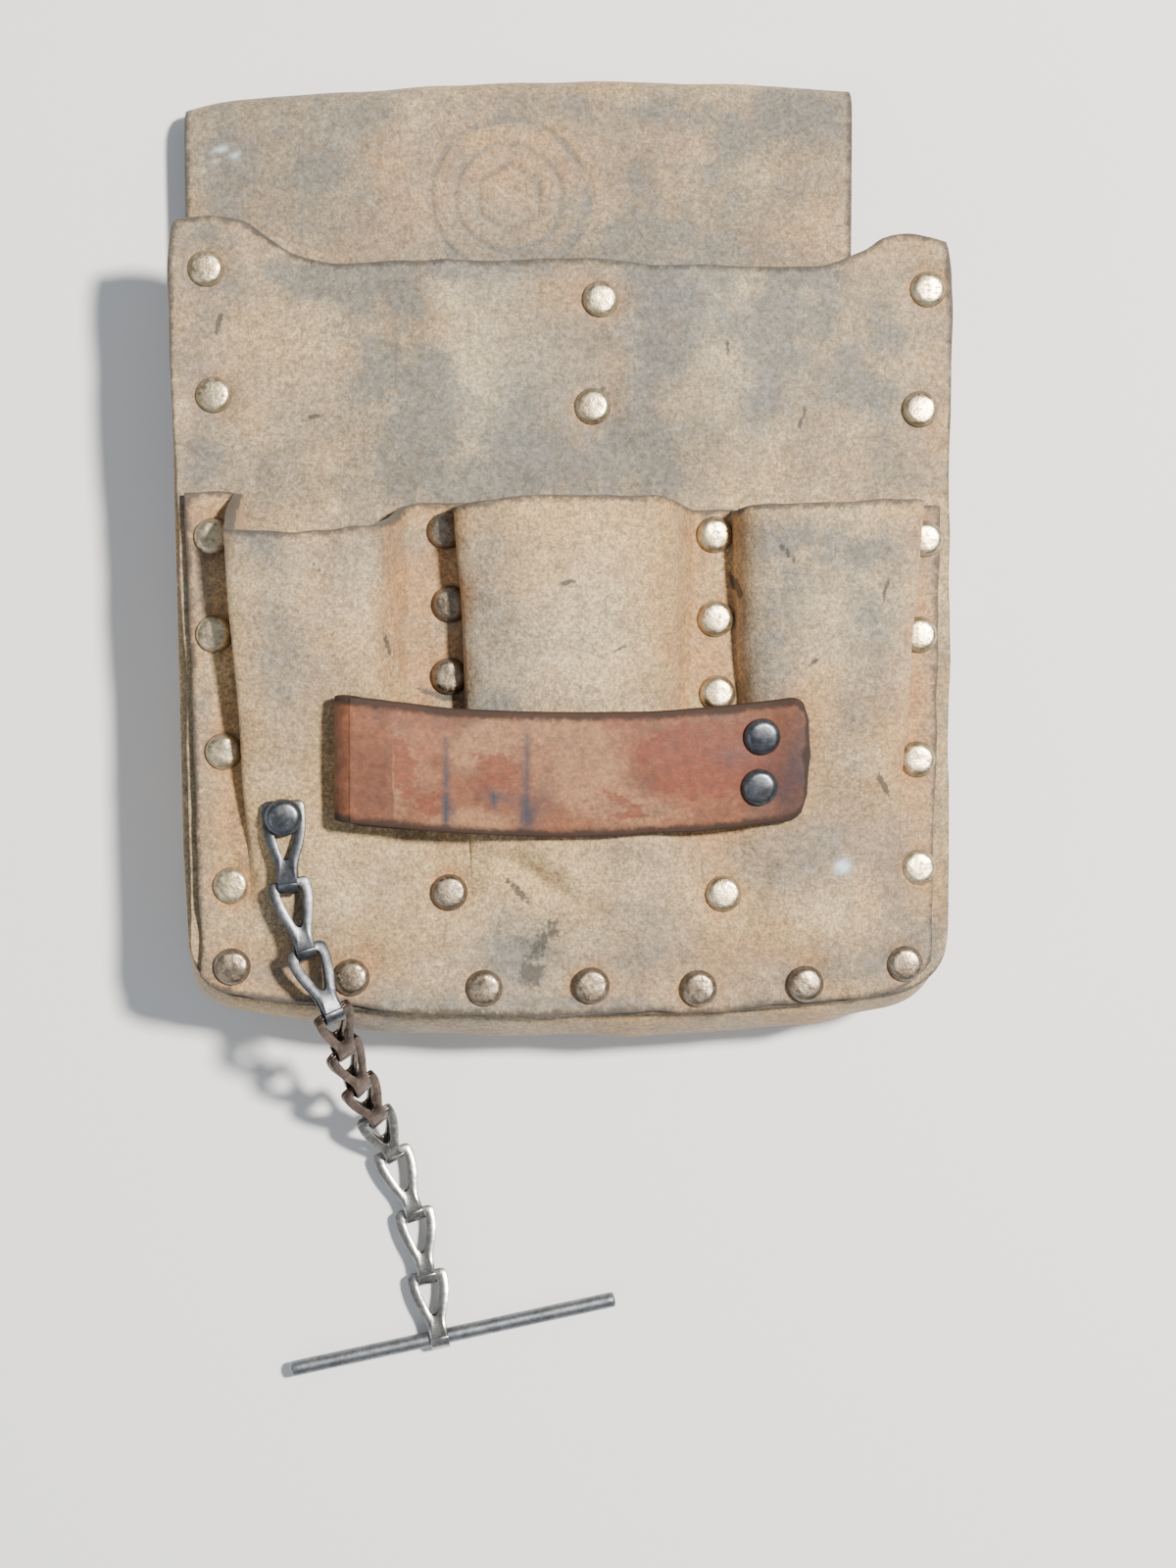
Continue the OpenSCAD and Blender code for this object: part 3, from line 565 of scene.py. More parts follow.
def front_panel():
    """The main pocket's front, with columns closer together towards its sides."""
    swing = radians(76)
    u = np.sin(np.linspace(-1, 1, 190) * swing) / sin(swing)
    U, V = np.meshgrid(u, np.linspace(0, 1, 190))
    x0 = U * 97.0
    wave = 0.5 * noise(x0, 0, 17, 3) + 0.25 * noise(x0, 0, 6, 4)
    top = smooth(x0 * 1.03, FRONT_TOP) + wave
    y = mix(front_bottom(x0), top, V)
    x = mix(smooth(y, LEFT_EDGE), smooth(y, RIGHT_EDGE), (U + 1) / 2)
    x = x + 0.35 * noise(0, y, 11, 5) * np.abs(U) ** 6
    held = near(x, y, UPPER_RIVETS, 6.5, 3)
    puff = (1.8 * np.exp(-((x + 48) / 24) ** 2) + 3.2 * np.exp(-((x + 31) / 12) ** 2)
            + 3.4 * np.exp(-((x - 34) / 12) ** 2) + 1.8 * np.exp(-((x - 52) / 22) ** 2))
    relief = puff * ease((y - 142) / 22) * (1 - 0.35 * ease((y - 190) / 14))
    relief += 1.5 * near(x, y, UPPER_RIVETS, 11) - 1.5 * held
    relief += (0.8 * noise(x, y, 34, 11) + 0.35 * noise(x, y, 12, 12)) * ease((y - 140) / 10)
    tab = ease((np.abs(x) - 66) / 20) * ease((y - 186) / 22)
    relief += 2.2 * tab * (0.6 + 0.4 * np.sign(-x))
    relief += marks(x, y, [
        (-1.3, 2, 205, 14, 140, 6), (-0.8, -72, 206, -58, 178, 3.2), (-0.8, 72, 206, 60, 180, 3.2)])
    z = POUCH_D + bow(x, y) + relief * (1 - held)
    face = np.stack([x, y, z], 2)
    # grime, with painted shade in the fold valleys at x -42 and x 24
    grime_and_shade = spots(x, y, [
        (-42, 172, 11, 36, 0.95, 6), (-4, 150, 28, 16, 0.85), (24, 172, 9, 32, 0.9, -10),
        (62, 186, 30, 13, 0.6, -6), (80, 160, 14, 26, 0.5, 10), (-60, 196, 34, 5, 0.6),
        (20, 200, 70, 3.2, 0.8), (-93, 160, 7, 40, 0.35), (-70, 150, 20, 12, 0.3, 30),
        (52, 172, 5, 22, 0.45, -8), (27, 198, 9, 5, 0.6), (-93, 208, 14, 4, 0.5)])
    tan = 0.95 * near(x, y, UPPER_RIVETS, 6.9, 5) + spots(x, y, [
        (-92, 180, 6, 44, 0.5), (96, 180, 5, 36, 0.45), (8, 178, 10, 26, 0.35, -4),
        (-75, 203, 14, 5, 0.5, -30), (-20, 190, 26, 12, 0.2), (70, 170, 20, 26, 0.15),
        (84, 206, 12, 5, 0.5, 30)])
    ink = 1.2 * marks(x, y, [
        (1, -84, 211, -66, 203, 0.9), (1, 8, 171, 13, 166, 0.8), (1, -88, 190, -90, 182, 0.9),
        (0.9, 60, 158, 63, 166, 0.8), (0.8, -96, 141, -80, 139, 1.4), (0.8, 40, 186, 43, 176, 0.8),
        (0.8, -70, 160, -60, 163, 0.8), (0.9, 66, 205, 80, 209, 1)])
    # painted light on the lit sides of the folds at x -24 and x 46, by the tabs and along the top
    light = spots(x, y, [
        (-24, 178, 8, 34, 1), (46, 184, 11, 30, 0.9), (82, 186, 14, 20, 0.5), (-66, 182, 14, 20, 0.5),
        (2, 206, 40, 4, 0.4)])
    body_sheet("front_leather", "front_panel", face, BODY_T, grime_and_shade + 0.28, tan, ink, light=light)


# Columns of the pocket panel: x at its foot, x at its mouth, how far it stands out, height of its mouth
POCKETS = [
    (-93, -97, 0, 142), (-80, -85.5, 0, 141), (-79, -87, 8, 136), (-77.5, -87.5, 16, 131),
    (-74, -84.5, 19, 130), (-66, -72, 20, 130), (-56, -58, 20, 130.5), (-50, -49.5, 18, 131.5),
    (-45, -44, 9, 134), (-41, -40, 1.5, 138), (-38, -36, 0, 139), (-24, -26.5, 0, 139),
    (-23, -28.5, 6, 138), (-21.5, -29, 12, 137), (-18, -26.5, 15.4, 137.5), (-8, -12, 17.8, 139),
    (8, 8, 18, 139.5), (20, 21, 17, 139.5), (25, 27, 12, 138.5), (29, 31.5, 3, 137.5), (32, 34, 0, 137),
    (46, 42.5, 0, 137), (48, 43, 5.5, 136.5), (51, 44.6, 11.5, 137), (56, 50, 16.2, 137.7),
    (66, 64, 18, 138.5), (76, 80, 18, 139.5), (81, 88, 17, 139.5), (83.5, 91.2, 13, 139.5),
    (85, 91, 6, 139.5), (86, 89, 0, 139.5), (95, 97.5, 0, 139.7)]


def pocket_panel():
    """The sheet of three bag pockets, which stand out from nothing at the foot to their mouths."""
    q = np.linspace(0, len(POCKETS) - 1, 10 * (len(POCKETS) - 1) + 1)
    numbered = [(k, *row) for k, row in enumerate(POCKETS)]
    columns = np.stack([smooth(q, numbered, k) for k in (1, 2, 3, 4)], 1)
    v = np.linspace(0, 1, 150)[:, None]
    xb, xm, stand, y_top = (columns[None, :, k] for k in range(4))
    stand = np.clip(stand, -0.2, None)
    q = q[None, :]
    y_low = front_bottom(np.clip(xb, -96, 96)) + 0.8 + noise(xb, 0, 19, 29) + 0.35 * noise(xb, 0, 6, 30)
    y_top = y_top + 0.55 * noise(xm, 0, 14, 21) + 0.25 * noise(xm, 0, 5, 22)
    y = mix(y_low, y_top, v)
    up = np.clip((y - 20) / (y_top - 20), 0, 1)
    x = mix(xb, xm, up) + 0.3 * noise(0, y, 9, 23) * (np.clip(np.abs(xb) - 90, 0, 3) / 3)
    x = x + 0.6 * noise(q * 6, y, 22, 24) * np.clip(stand / 10, 0, 1) * ease(up * 2.5)
    gap = (xb.T - xb) / 8.5
    share = np.exp(-gap ** 2) * np.gradient(columns[:, 0])[None, :]
    foot = (share @ stand.T / share.sum(1, keepdims=True)).T
    stand = mix(foot, stand, ease((y - 36) / 52))
    full = np.clip(stand / 18, 0, 1)
    lift = stand * up ** 0.94 * (1 - 0.85 * near(x, y, POCKET_RIVETS, 7.5, 3) * (1 - full) ** 2)
    pillow = full * np.sin(np.pi * np.clip(up, 0, 1)) * 1.5
    held = near(x, y, POCKET_RIVETS, 6.0, 3)
    relief = pillow + 0.8 * noise(x, y, 26, 25) * (0.4 + full) + 0.3 * noise(x, y, 9, 26)
    relief += 1.2 * near(x, y, POCKET_RIVETS, 10) * (1 - full) - 1.2 * held
    relief += (2.0 * noise(x, y, 20, 28) + 0.8 * noise(x, y, 10, 38)) * (1 - ease((y - 40) / 40))
    relief -= 0.9 * np.exp(-((y - 69) / 17) ** 2) * full
    relief += marks(x, y, [
        (-2, -17, 50, 2, 36, 1.8), (1.6, -12, 53, 8, 40, 3), (-1.4, 34, 52, 52, 60, 2.4),
        (-1.2, -48, 50, -34, 60, 2.4), (-1.4, 44, 30, 54, 48, 2.6), (-1, -20, 26, 0, 22, 2.2),
        (1.3, -50, 30, -10, 27, 7), (1.2, 8, 28, 80, 30, 8)])
    sag = ease((y - 126) / 14) * full
    relief -= 0.8 * sag * (0.5 + 0.5 * noise(x, 3, 15, 27))
    z = POCKET_FACE + lift + bow(x, y) + relief * (1 - held)
    face = np.stack([x, y, np.broadcast_to(z, x.shape)], 2)
    # grime, with painted shade down each pocket's left-hand side
    grime_and_shade = spots(x, y, [
        (-74, 104, 8, 40, 0.6, 3), (-21, 104, 6, 40, 0.55, 2), (52, 100, 7, 40, 0.6, -3),
        (74, 92, 8, 44, 0.4, -6), (66, 126, 20, 10, 0.4), (-60, 92, 10, 9, 0.35), (-26, 20, 18, 9, 0.35),
        (4, 112, 12, 14, 0.35), (-12, 24, 8, 11, 0.9, 20), (20, 30, 14, 15, 0.5, -30),
        (-46, 42, 10, 12, 0.4), (70, 128, 22, 7, 0.45, -8), (80, 100, 8, 34, 0.35),
        (58, 118, 8, 18, 0.35, -14), (-55, 118, 8, 22, 0.25, 10), (-2, 88, 30, 5, 0.35),
        (64, 50, 20, 8, 0.35, 20), (-70, 30, 10, 14, 0.35), (14, 50, 30, 6, 0.3), (90, 24, 9, 9, 0.5),
        (-90, 24, 8, 9, 0.35), (40, 22, 30, 5, 0.3), (-93, 90, 2.6, 60, 0.55, 1), (96, 110, 2.5, 60, 0.4),
        (0, 10.5, 95, 2.2, 0.7), (60, 17, 34, 4, 0.5, 6), (-60, 17, 34, 4, 0.4, -6),
        (-84, 128, 8, 8, 0.4), (86, 40, 8, 16, 0.4), (-46, 128, 14, 5, 0.4)])
    flat = 1 - np.clip(full * 2, 0, 1)
    # tan round the rivets, with a painted lit side down each pocket's right-hand slope
    tan = 0.9 * near(x, y, POCKET_RIVETS, 6.9, 5) + 0.5 * flat * ease((y - 30) / 30) + spots(x, y, [
        (-44, 104, 6, 40, 0.6, 4), (24, 104, 6, 40, 0.5, 2), (80, 60, 8, 24, 0.5), (2, 58, 40, 7, 0.5),
        (-58, 76, 12, 20, 0.35), (44, 26, 26, 8, 0.45), (-66, 20, 22, 8, 0.45), (60, 84, 14, 10, 0.4),
        (-36, 98, 6, 42, 0.6, 2), (-57, 132, 14, 5, 0.4), (-40, 122, 8, 16, 0.5, 6),
        (36, 100, 7, 40, 0.45, -3), (60, 70, 22, 16, 0.3), (-62, 22, 30, 8, 0.35), (60, 20, 30, 7, 0.35),
        (0, 132, 30, 5, 0.25), (44, 52, 10, 10, 0.4), (-84, 60, 6, 50, 0.35), (90, 80, 4, 60, 0.4),
        (0, 62, 44, 8, 0.3)])
    ink = spots(x, y, [
        (-6.5, 24, 5, 9, 0.62, -30), (-9, 17, 5, 4, 0.5), (-2, 31, 4, 4, 0.45, 45),
        (-12, 27, 3, 5, 0.35)])
    ink += 1.2 * marks(x, y, [
        (1, 53, 129, 58, 122, 0.9), (1, 79, 72, 84, 63, 0.9), (1, -47, 107, -45, 99, 0.8),
        (1, 42, 123, 45, 114, 0.8), (1, -17, 45, -8, 35, 1.1), (1, 26, 84, 38, 80, 1),
        (0.9, -40, 92, -24, 88, 1.2), (0.8, 60, 96, 66, 101, 0.8), (0.8, -66, 124, -60, 118, 0.8),
        (0.9, 82, 122, 80, 112, 0.8), (0.8, 10, 100, 16, 103, 0.8), (0.9, -4, 117, 3, 119, 0.9)])
    paint = spots(x, y, [(71.5, 46, 1.5, 1.5, 1.6)])
    # painted light on the pocket faces and on the lit sides of the creases
    light = spots(x, y, [
        (-52, 112, 8, 26, 0.6), (6, 106, 16, 26, 0.9), (70, 116, 12, 24, 0.5), (-62, 50, 12, 12, 0.5),
        (-6, 34, 12, 5, 0.6, 30), (30, 46, 12, 6, 0.6, -20), (66, 34, 20, 8, 0.6), (-34, 50, 10, 8, 0.5),
        (-70, 112, 6, 20, 0.4)])
    body_sheet("pocket_leather", "pocket_panel", face, POCKET_T, grime_and_shade, tan + 0.13, ink, paint, light,
               softening=10, proud=0.6)


# The back's underside rises over the belt tunnel's tail and then over the tunnel
BACK_RISE = [(0, 0), (153, 0), (168, 3.2), (190, 3.2), (204, 9.7), (257, 9.7)]
STAMP_AT = (-13, 226)


def back_side(side, y):
    """The back's side edges; the pouch narrows behind its front."""
    if side < 0:
        return -97 - 0.025 * y + 1 + 0.011 * y
    return 100 + 0.006 * y - 3 - 0.088 * np.minimum(y, 208)


def back_panel():
    """One sheet from the bottom edge up the back, over the belt fold and down its tail."""
    up = np.concatenate([np.linspace(10, 198, 90), np.linspace(198.6, 247.2, 90)])
    half, fold_r, fold_y, tail_end = BODY_T / 2, 4.85, 250.65, 172
    path = [(y, smooth(y, BACK_RISE) + half) for y in up]
    path += [(fold_y + fold_r * cos(a), half + fold_r + fold_r * sin(a))
             for a in np.linspace(pi / 2, -pi / 2, 26)]
    path += [(y, half) for y in np.linspace(247, tail_end, 50)]
    path = np.array(path)
    along = np.gradient(path, axis=0)
    along /= np.linalg.norm(along, axis=1, keepdims=True)
    outer = path + half * np.stack([-along[:, 1], along[:, 0]], 1)
    u = np.concatenate([np.linspace(0, 0.3, 30), np.linspace(0.305, 0.59, 100), np.linspace(0.6, 1, 40)])
    U = np.broadcast_to(u[None, :], (len(path), len(u)))
    y0 = np.broadcast_to(outer[:, :1], U.shape)
    z0 = np.broadcast_to(outer[:, 1:], U.shape)
    x = mix(back_side(-1, y0), back_side(1, y0), U)
    crown = smooth(x, [(-102, -8.6), (-98, -7.4), (-85, -4.2), (-52, -1.6), (-15, 1.2), (19, 2.0),
                       (50, 1.7), (80, 0.2)])
    y = y0 + crown * ease((y0 - 196) / 60) + 0.3 * noise(x, 2, 12, 31) * ease((y0 - 230) / 20)
    first = np.arange(len(path))[:, None] < len(up)
    low = np.maximum(y, np.where(first, front_bottom(np.clip(x, -96, 96), 96.5), y))
    y = np.where(first & (y0 < 60), low + (y0 - 10) * np.clip(60 - y0, 0, 50) / 50 * 0.02, y)
    face_up = ease((y0 - 150) / 20) * first
    relief = (0.5 * noise(x, y, 40, 32) + 0.18 * noise(x, y, 13, 33)) * face_up
    ring = np.hypot(x - STAMP_AT[0], y - STAMP_AT[1])
    stamp = (np.exp(-((ring - 21) / 0.8) ** 2) + 0.8 * np.exp(-((ring - 14.5) / 0.6) ** 2)) * face_up
    angle = np.arctan2(y - STAMP_AT[1], x - STAMP_AT[0])
    hexagon = ring * np.cos(((angle + pi / 6) % (pi / 3)) - pi / 6)
    stamp += np.exp(-((hexagon - 8) / 0.8) ** 2) * face_up
    z = z0 + relief - 0.6 * stamp
    face = np.stack([x, y, z], 2)
    grime_and_shade = 0.4 * np.clip(stamp, 0, 1) + spots(x, y, [
        (40, 232, 34, 20, 0.55, 10), (-60, 226, 20, 26, 0.45), (-85, 240, 12, 16, 0.5),
        (0, 250, 60, 5, 0.45), (-90, 215, 8, 20, 0.5), (10, 208, 60, 6, 0.45), (66, 250, 14, 8, 0.5),
        (20, 216, 16, 12, 0.4)])
    tan = spots(x, y, [
        (-30, 236, 40, 8, 0.5), (-14, 228, 24, 20, 0.4), (60, 214, 20, 10, 0.4), (-70, 208, 26, 6, 0.4),
        (30, 244, 24, 8, 0.3)])
    paint = spots(x, y, [
        (-90.5, 238, 2.2, 1.2, 1.2, 20), (-87, 236, 1.2, 1.8, 1.2), (-91.5, 234.5, 1, 1, 1)])
    paint = np.clip(paint * face_up - 0.3, 0, 1) * (0.7 + 0.5 * noise(x, y, 1.2, 36))
    ink = marks(x, y, [(0.6, -95, 250, 40, 257, 0.8)]) * face_up
    body_sheet("back_leather", "back_panel", face, BODY_T, grime_and_shade + 0.25, tan, ink, paint)


def gusset():
    """The strip round the sides and bottom: a U-shaped path with a bulging section."""
    corner_r, swing, length = 16.0, 82.0, 620
    corner_y = float(front_bottom(np.array(97 - corner_r))) + corner_r
    heights = np.linspace(205, 50, 62)
    # x, y, the way out in degrees, how far it bulges, how far the back is set in
    path = [(-97 - 0.025 * y, y, 180, 1, 1 + 0.011 * y) for y in heights]
    for t in np.linspace(0, 1, 30):
        a = radians(180 + swing * t)
        path.append((-97 + corner_r + corner_r * cos(a), corner_y + corner_r * sin(a),
                     180 + swing * t, mix(1, 6.5, ease(t)), 1))
    path += [(x, float(front_bottom(np.array(x))), 270 + 8 * x / 60, mix(8, 6.9, (abs(x) / 76) ** 4), 1)
             for x in np.linspace(-74, 77, 90)]
    for t in np.linspace(0, 1, 30):
        a = radians(360 - swing + swing * t)
        path.append((100 - corner_r + corner_r * cos(a), corner_y + corner_r * sin(a),
                     360 - swing + swing * t, mix(6.5, 1, ease(t)), 3))
    path += [(100 + 0.006 * y, y, 0, 1, 3 + 0.088 * y) for y in heights[::-1]]
    path = np.array(path)
    w = np.linspace(0, 1, 56)[None, :]
    P = path[:, None, :]
    low = FLANGE_LOW + smooth(P[..., 1] + 3, BACK_RISE)
    bulge, step = P[..., 3], P[..., 4]
    run = np.linspace(0, length, len(path))[:, None]
    t = np.clip((w - 0.2) / 0.6, 0, 1)
    arch = np.sin(pi * t) ** 0.75
    out = bulge * arch - step * t ** 1.4
    wave = 0.55 * noise(run, w * 30, 16, 41) + 0.9 * noise(run, 0, 22, 42) * (bulge / 8)
    out += wave * arch * np.clip(bulge / 4, 0.35, 1)
    level = mix(FLANGE_HIGH, low, t)
    flange_front = np.clip((0.2 - w) / 0.2, 0, 1)
    flange_back = np.clip((w - 0.8) / 0.2, 0, 1)
    out = out - FLANGE_W * (flange_front + flange_back)
    for at, bend in ((0.2, -0.9), (0.8, 0.9)):
        level += bend * np.exp(-((w - at) / 0.02) ** 2)
    a = np.radians(P[..., 2])
    x = P[..., 0] + out * np.cos(a)
    y = P[..., 1] + out * np.sin(a)
    face = np.stack([x, y, level + 0 * x], 2)
    grime_and_shade = 0.2 + 0.35 * noise(run, w * 40, 30, 43) + 0.5 * flange_front
    tan = 0.5 * arch * (bulge / 8) + 0.2 + 0.3 * noise(run, 0, 40, 44)
    body_sheet("gusset_leather", "gusset", face, BODY_T - 0.3, grime_and_shade, tan)


def tool_sleeve():
    """The strip inside the front's top."""
    knots = [(-94, 41.6), (-80, 41.6), (-66, 38.6), (-50, 36.6), (-32, 37.6), (-16, 44.3), (-4, 48.6),
             (8, 48.6), (20, 48.4), (32, 43.6), (46, 37.6), (60, 36.6), (70, 38.6), (82, 41.6), (95, 41.6)]
    x = np.linspace(-93, 94, 150)[None, :]
    y = np.linspace(150.5, 197.5, 44)[:, None]
    z = np.minimum(smooth(x, knots) + 0 * y, FLANGE_HIGH - 0.2 + bow(x, y))
    x = np.broadcast_to(x, z.shape)
    y = np.broadcast_to(y, z.shape) + 0.4 * noise(x, 0, 15, 51)
    face = np.stack([x, y, z], 2)
    body_sheet("sleeve_leather", "tool_sleeve", face, SLEEVE_T, 0.35, 0.35)


# The strap's middle line: x, level and how much it leans across; the fold is x, level and radius
STRAP_FOLD = (-53.5, 67.6, 5.7)
STRAP_PATH = ([(61, 64.4, 0.15), (49, 62.8, 0.15), (30, 64.1, 0.15), (12, 65.2, 0.15), (-5, 66.4, 0.15),
               (-22, 68.2, 0.16), (-40, 71.6, 0.17)]
              + [(STRAP_FOLD[0] + STRAP_FOLD[2] * cos(radians(a)),
                  STRAP_FOLD[1] + STRAP_FOLD[2] * sin(radians(a)), 0.18)
                 for a in (90, 112.5, 135, 157.5, 180, 202.5, 225, 247.5, 270)]
              + [(-50, 61.8, 0.18), (-44, 58.4, 0.12), (-39.5, 54.9, 0.06), (-35.5, 53.6, 0.03),
                 (-27.5, 53.6, 0.02)])


def strap_middle(x):
    """The strap's middle in y: it hangs a little between its ends."""
    return 69.5 + 4.5 * (x / 61) ** 2


def strap_loop():
    """The strap across the pockets, its fold and its tail."""
    line = flowing(STRAP_PATH, 12)
    run = np.concatenate([[0], np.cumsum(np.linalg.norm(np.diff(line[:, :2], axis=0), axis=1))])
    half, corner_r, front_length = STRAP_W / 2 - 0.6, 5.0, 106
    for distance in (run, run[-1] - run):
        short = np.clip(distance, 0, corner_r)
        half = half - corner_r + np.sqrt(np.clip(corner_r ** 2 - (corner_r - short) ** 2, 0, None))
    w = np.linspace(-1, 1, 34)[None, :] * half[:, None]
    x = line[:, :1] + 0 * w
    ragged = 0.25 * noise(run[:, None], np.sign(w) * 50, 13, 61) * np.abs(w / 15) ** 4
    y = strap_middle(x) + w + ragged
    z = line[:, 1:2] + line[:, 2:3] * w
    front = run[:, None] < front_length
    z = z - 0.5 * (w / 15) ** 2 * front + 0.25 * noise(run[:, None], w, 18, 62) * front
    z = z - 0.7 * near(x, y, STRAP_RIVETS, 7) * front + 0.35 * near(x, y, STRAP_RIVETS, 13) * front
    face = np.stack([x, y, z], 2)
    lines = marks(x, y, [(0.9, -31, 80, -31, 56, 0.8), (0.9, -10.5, 84, -11.5, 55, 0.9)])
    stain = front * (lines + spots(x, y, [
        (-17, 64, 4.5, 1.6, 0.6, -8), (-30.7, 60, 1.5, 3.6, 0.8), (-10, 59, 2.6, 4.5, 0.7),
        (-6, 63, 3, 5, 0.35), (-19, 63, 1.2, 3, 0.7), (42, 74, 4, 3, 0.4), (54, 66, 6, 9, 0.45),
        (60, 74, 4, 15, 0.55)]))
    worn = spots(x, y, [
        (-47, 71, 12, 13, 0.8), (-22, 76, 9, 8, 0.75), (-24, 58, 12, 4, 0.7), (4, 71, 15, 12, 0.7),
        (20, 60, 16, 6, 0.5), (-4, 82, 14, 4, 0.5)]) * front
    red = spots(x, y, [
        (-42, 72, 5, 9, 0.8, 10), (-19, 71, 8, 7, 0.8, 20), (30, 73, 15, 11, 1), (-34, 62, 7, 4, 0.5),
        (12, 60, 9, 5, 0.5), (48, 73, 9, 13, 0.6)]) * front
    leather("strap_leather", face, STRAP_T, STRAP, "strap_leather", "strap_loop",
            {"stain": stain, "worn": worn, "red": red}, proud=0.9)


# ---- Rivets ----

def lathe(profile, turns=40):
    """Points and faces of a closed solid turned round Z from a profile of (radius, z)."""
    a = np.linspace(0, 2 * pi, turns, endpoint=False)
    prof = np.array(profile, float)
    points = [np.stack([r * np.cos(a), r * np.sin(a), np.full(turns, z)], 1) for r, z in prof[1:-1]]
    points = np.vstack([[(0, 0, prof[0][1])]] + points + [[(0, 0, prof[-1][1])]])
    faces = []
    rings = len(prof) - 2
    for j in range(turns):
        k = (j + 1) % turns
        faces.append((0, 1 + j, 1 + k))
        for i in range(rings - 1):
            p, q = 1 + i * turns, 1 + (i + 1) * turns
            faces.append((p + j, q + j, q + k, p + k))
        last = 1 + (rings - 1) * turns
        faces.append((last + j, len(points) - 1, last + k))
    return points, faces


def rivet_profile(grip):
    """Head, shank and spread end of a rivet, as (radius, z) with the head's seat at 0."""
    r, shank = HEAD_D / 2, SHANK_D / 2
    dome = [(0, HEAD_H)]
    for t in (0.14, 0.28, 0.42, 0.56, 0.66, 0.74, 0.81, 0.87, 0.92, 0.96, 0.985):
        shoulder = sqrt(1 - (max(t - 0.66, 0) / 0.34) ** 2)
        dome.append((r * t, 0.35 + (HEAD_H - 0.35) * (1 - 0.22 * t * t) * shoulder))
    return dome + [(r, 0.3), (r * 0.99, 0.02), (r * 0.93, -0.12), (shank, -0.14), (shank, -grip),
                   (shank + 0.6, -grip - 0.05), (shank + 0.7, -grip - 0.3), (shank + 0.45, -grip - 0.6),
                   (0.9, -grip - 0.6), (0.6, -grip - 0.2), (0, -grip - 0.2)]


def rivets(name, places, levels, grip, material, slot, lean=0.0, ends=("_heads", "_rivets")):
    """One piece of rivets, each tilted and worn a little in its own way."""
    points, faces, dirt_and_rim_shade = [], [], []
    for n, (p, level) in enumerate(zip(places, levels)):
        shape, shape_faces = lathe(rivet_profile(grip))
        x, y, z = shape.T
        radius = np.hypot(x, y) / (HEAD_D / 2)
        z = np.where(z > 0.3, z + 0.08 * noise(x + 31 * n, y, 2.4, 70 + n) - 0.04, z)
        # dirt under the head, and a painted shade ring on the head's shoulder
        dirt_and_rim_shade.extend(np.where(z < -0.05, 0.8, np.clip((radius - 0.8) * 4.2, 0, 0.9) ** 1.5))
        a, b = radians(lean) + 0.02 * sin(3.1 * n + 1), 0.02 * cos(2.3 * n)
        y, z = y * cos(a) - z * sin(a), y * sin(a) + z * cos(a)
        x, z = x * cos(b) + z * sin(b), z * cos(b) - x * sin(b)
        base = len(points)
        points.extend(np.stack([x + p[0], y + p[1], z + level], 1))
        faces.extend([tuple(base + i for i in face) for face in shape_faces])
    mesh = new_mesh(name + ends[0], points, faces, {"dirt_and_rim_shade": dirt_and_rim_shade})
    place(name + ends[0], mesh, material, slot, "pouch", [name + ends[1]])


def all_rivets():
    """Grips reach from under the head to the burr."""
    side_grip = POCKET_FACE - FLANGE_HIGH + BODY_T + 0.8
    for name, places, face, grip, material in (
            ("upper_side", UPPER_SIDE, POUCH_D, 10.2, NICKEL),
            ("upper_centre", UPPER_CENTRE, POUCH_D, 7.0, NICKEL),
            ("left_side", LEFT_SIDE, POCKET_FACE, side_grip, NICKEL),
            ("right_side", RIGHT_SIDE, POCKET_FACE, side_grip, NICKEL),
            # the left divider's rivets take the darker nickel as painted shade from the pocket wall beside
            # them
            ("left_divider", LEFT_DIVIDER, POCKET_FACE, 6.8, DULL_AND_SHADED_NICKEL),
            ("right_divider", RIGHT_DIVIDER, POCKET_FACE, 6.8, NICKEL),
            ("bottom", BOTTOM, POCKET_FACE, side_grip, DULL_AND_SHADED_NICKEL)):
        rivets(name, places, [face + float(bow(*p)) for p in places], grip, material, "nickel")
    strap_levels = [62.9 + 0.15 * (y - strap_middle(x)) for x, y in STRAP_RIVETS]
    rivets("strap", STRAP_RIVETS, strap_levels, 9.4, DARK_STEEL, "dark_steel", lean=8.5)
    rivets("strap_tail", TAIL_RIVETS, [56.8] * 2, 10.6, DARK_STEEL, "dark_steel")
    rivets("chain", [(-72.1, 58.85)], [62.4], 7.6, DARK_STEEL, "dark_steel", 4.5, ("_head", "_rivet"))
    rivets("tunnel", TUNNEL_RIVETS, [BACK_RIVET_LEVEL] * 5, 5.2, NICKEL, "nickel")
    rivets("back", BACK_RIVETS, [BACK_RIVET_LEVEL] * 11, 5.2, NICKEL, "nickel")


# ---- Chain ----

STOCK, LEAF_GAP, LINK_REACH, RIVET_REACH, WAIST_W = 0.8, 0.15, 17.5, 17.0, 5.1
LEAF_HALF, FOLD_R, BAR_FOLD_R, RIVET_TOP, SECTION = 5.5, 1.9, 2.35, 3.25, 12
CHAIN_START = (-72.1, 59, 60.4)
# Each link's bend, twist and sideways turn against the one before it, in degrees
LINK_POSE = [(4.5, -3, 4), (-0.5, 10.5, 10), (-9.5, 6, 8.5), (55, 7.5, 5), (-5, 11.5, 2.5),
             (2.5, -7.5, 3.5), (-6.5, -10, -2.5), (-43.5, -2, -9), (-2, -3, -9), (-0.5, -1, 0)]


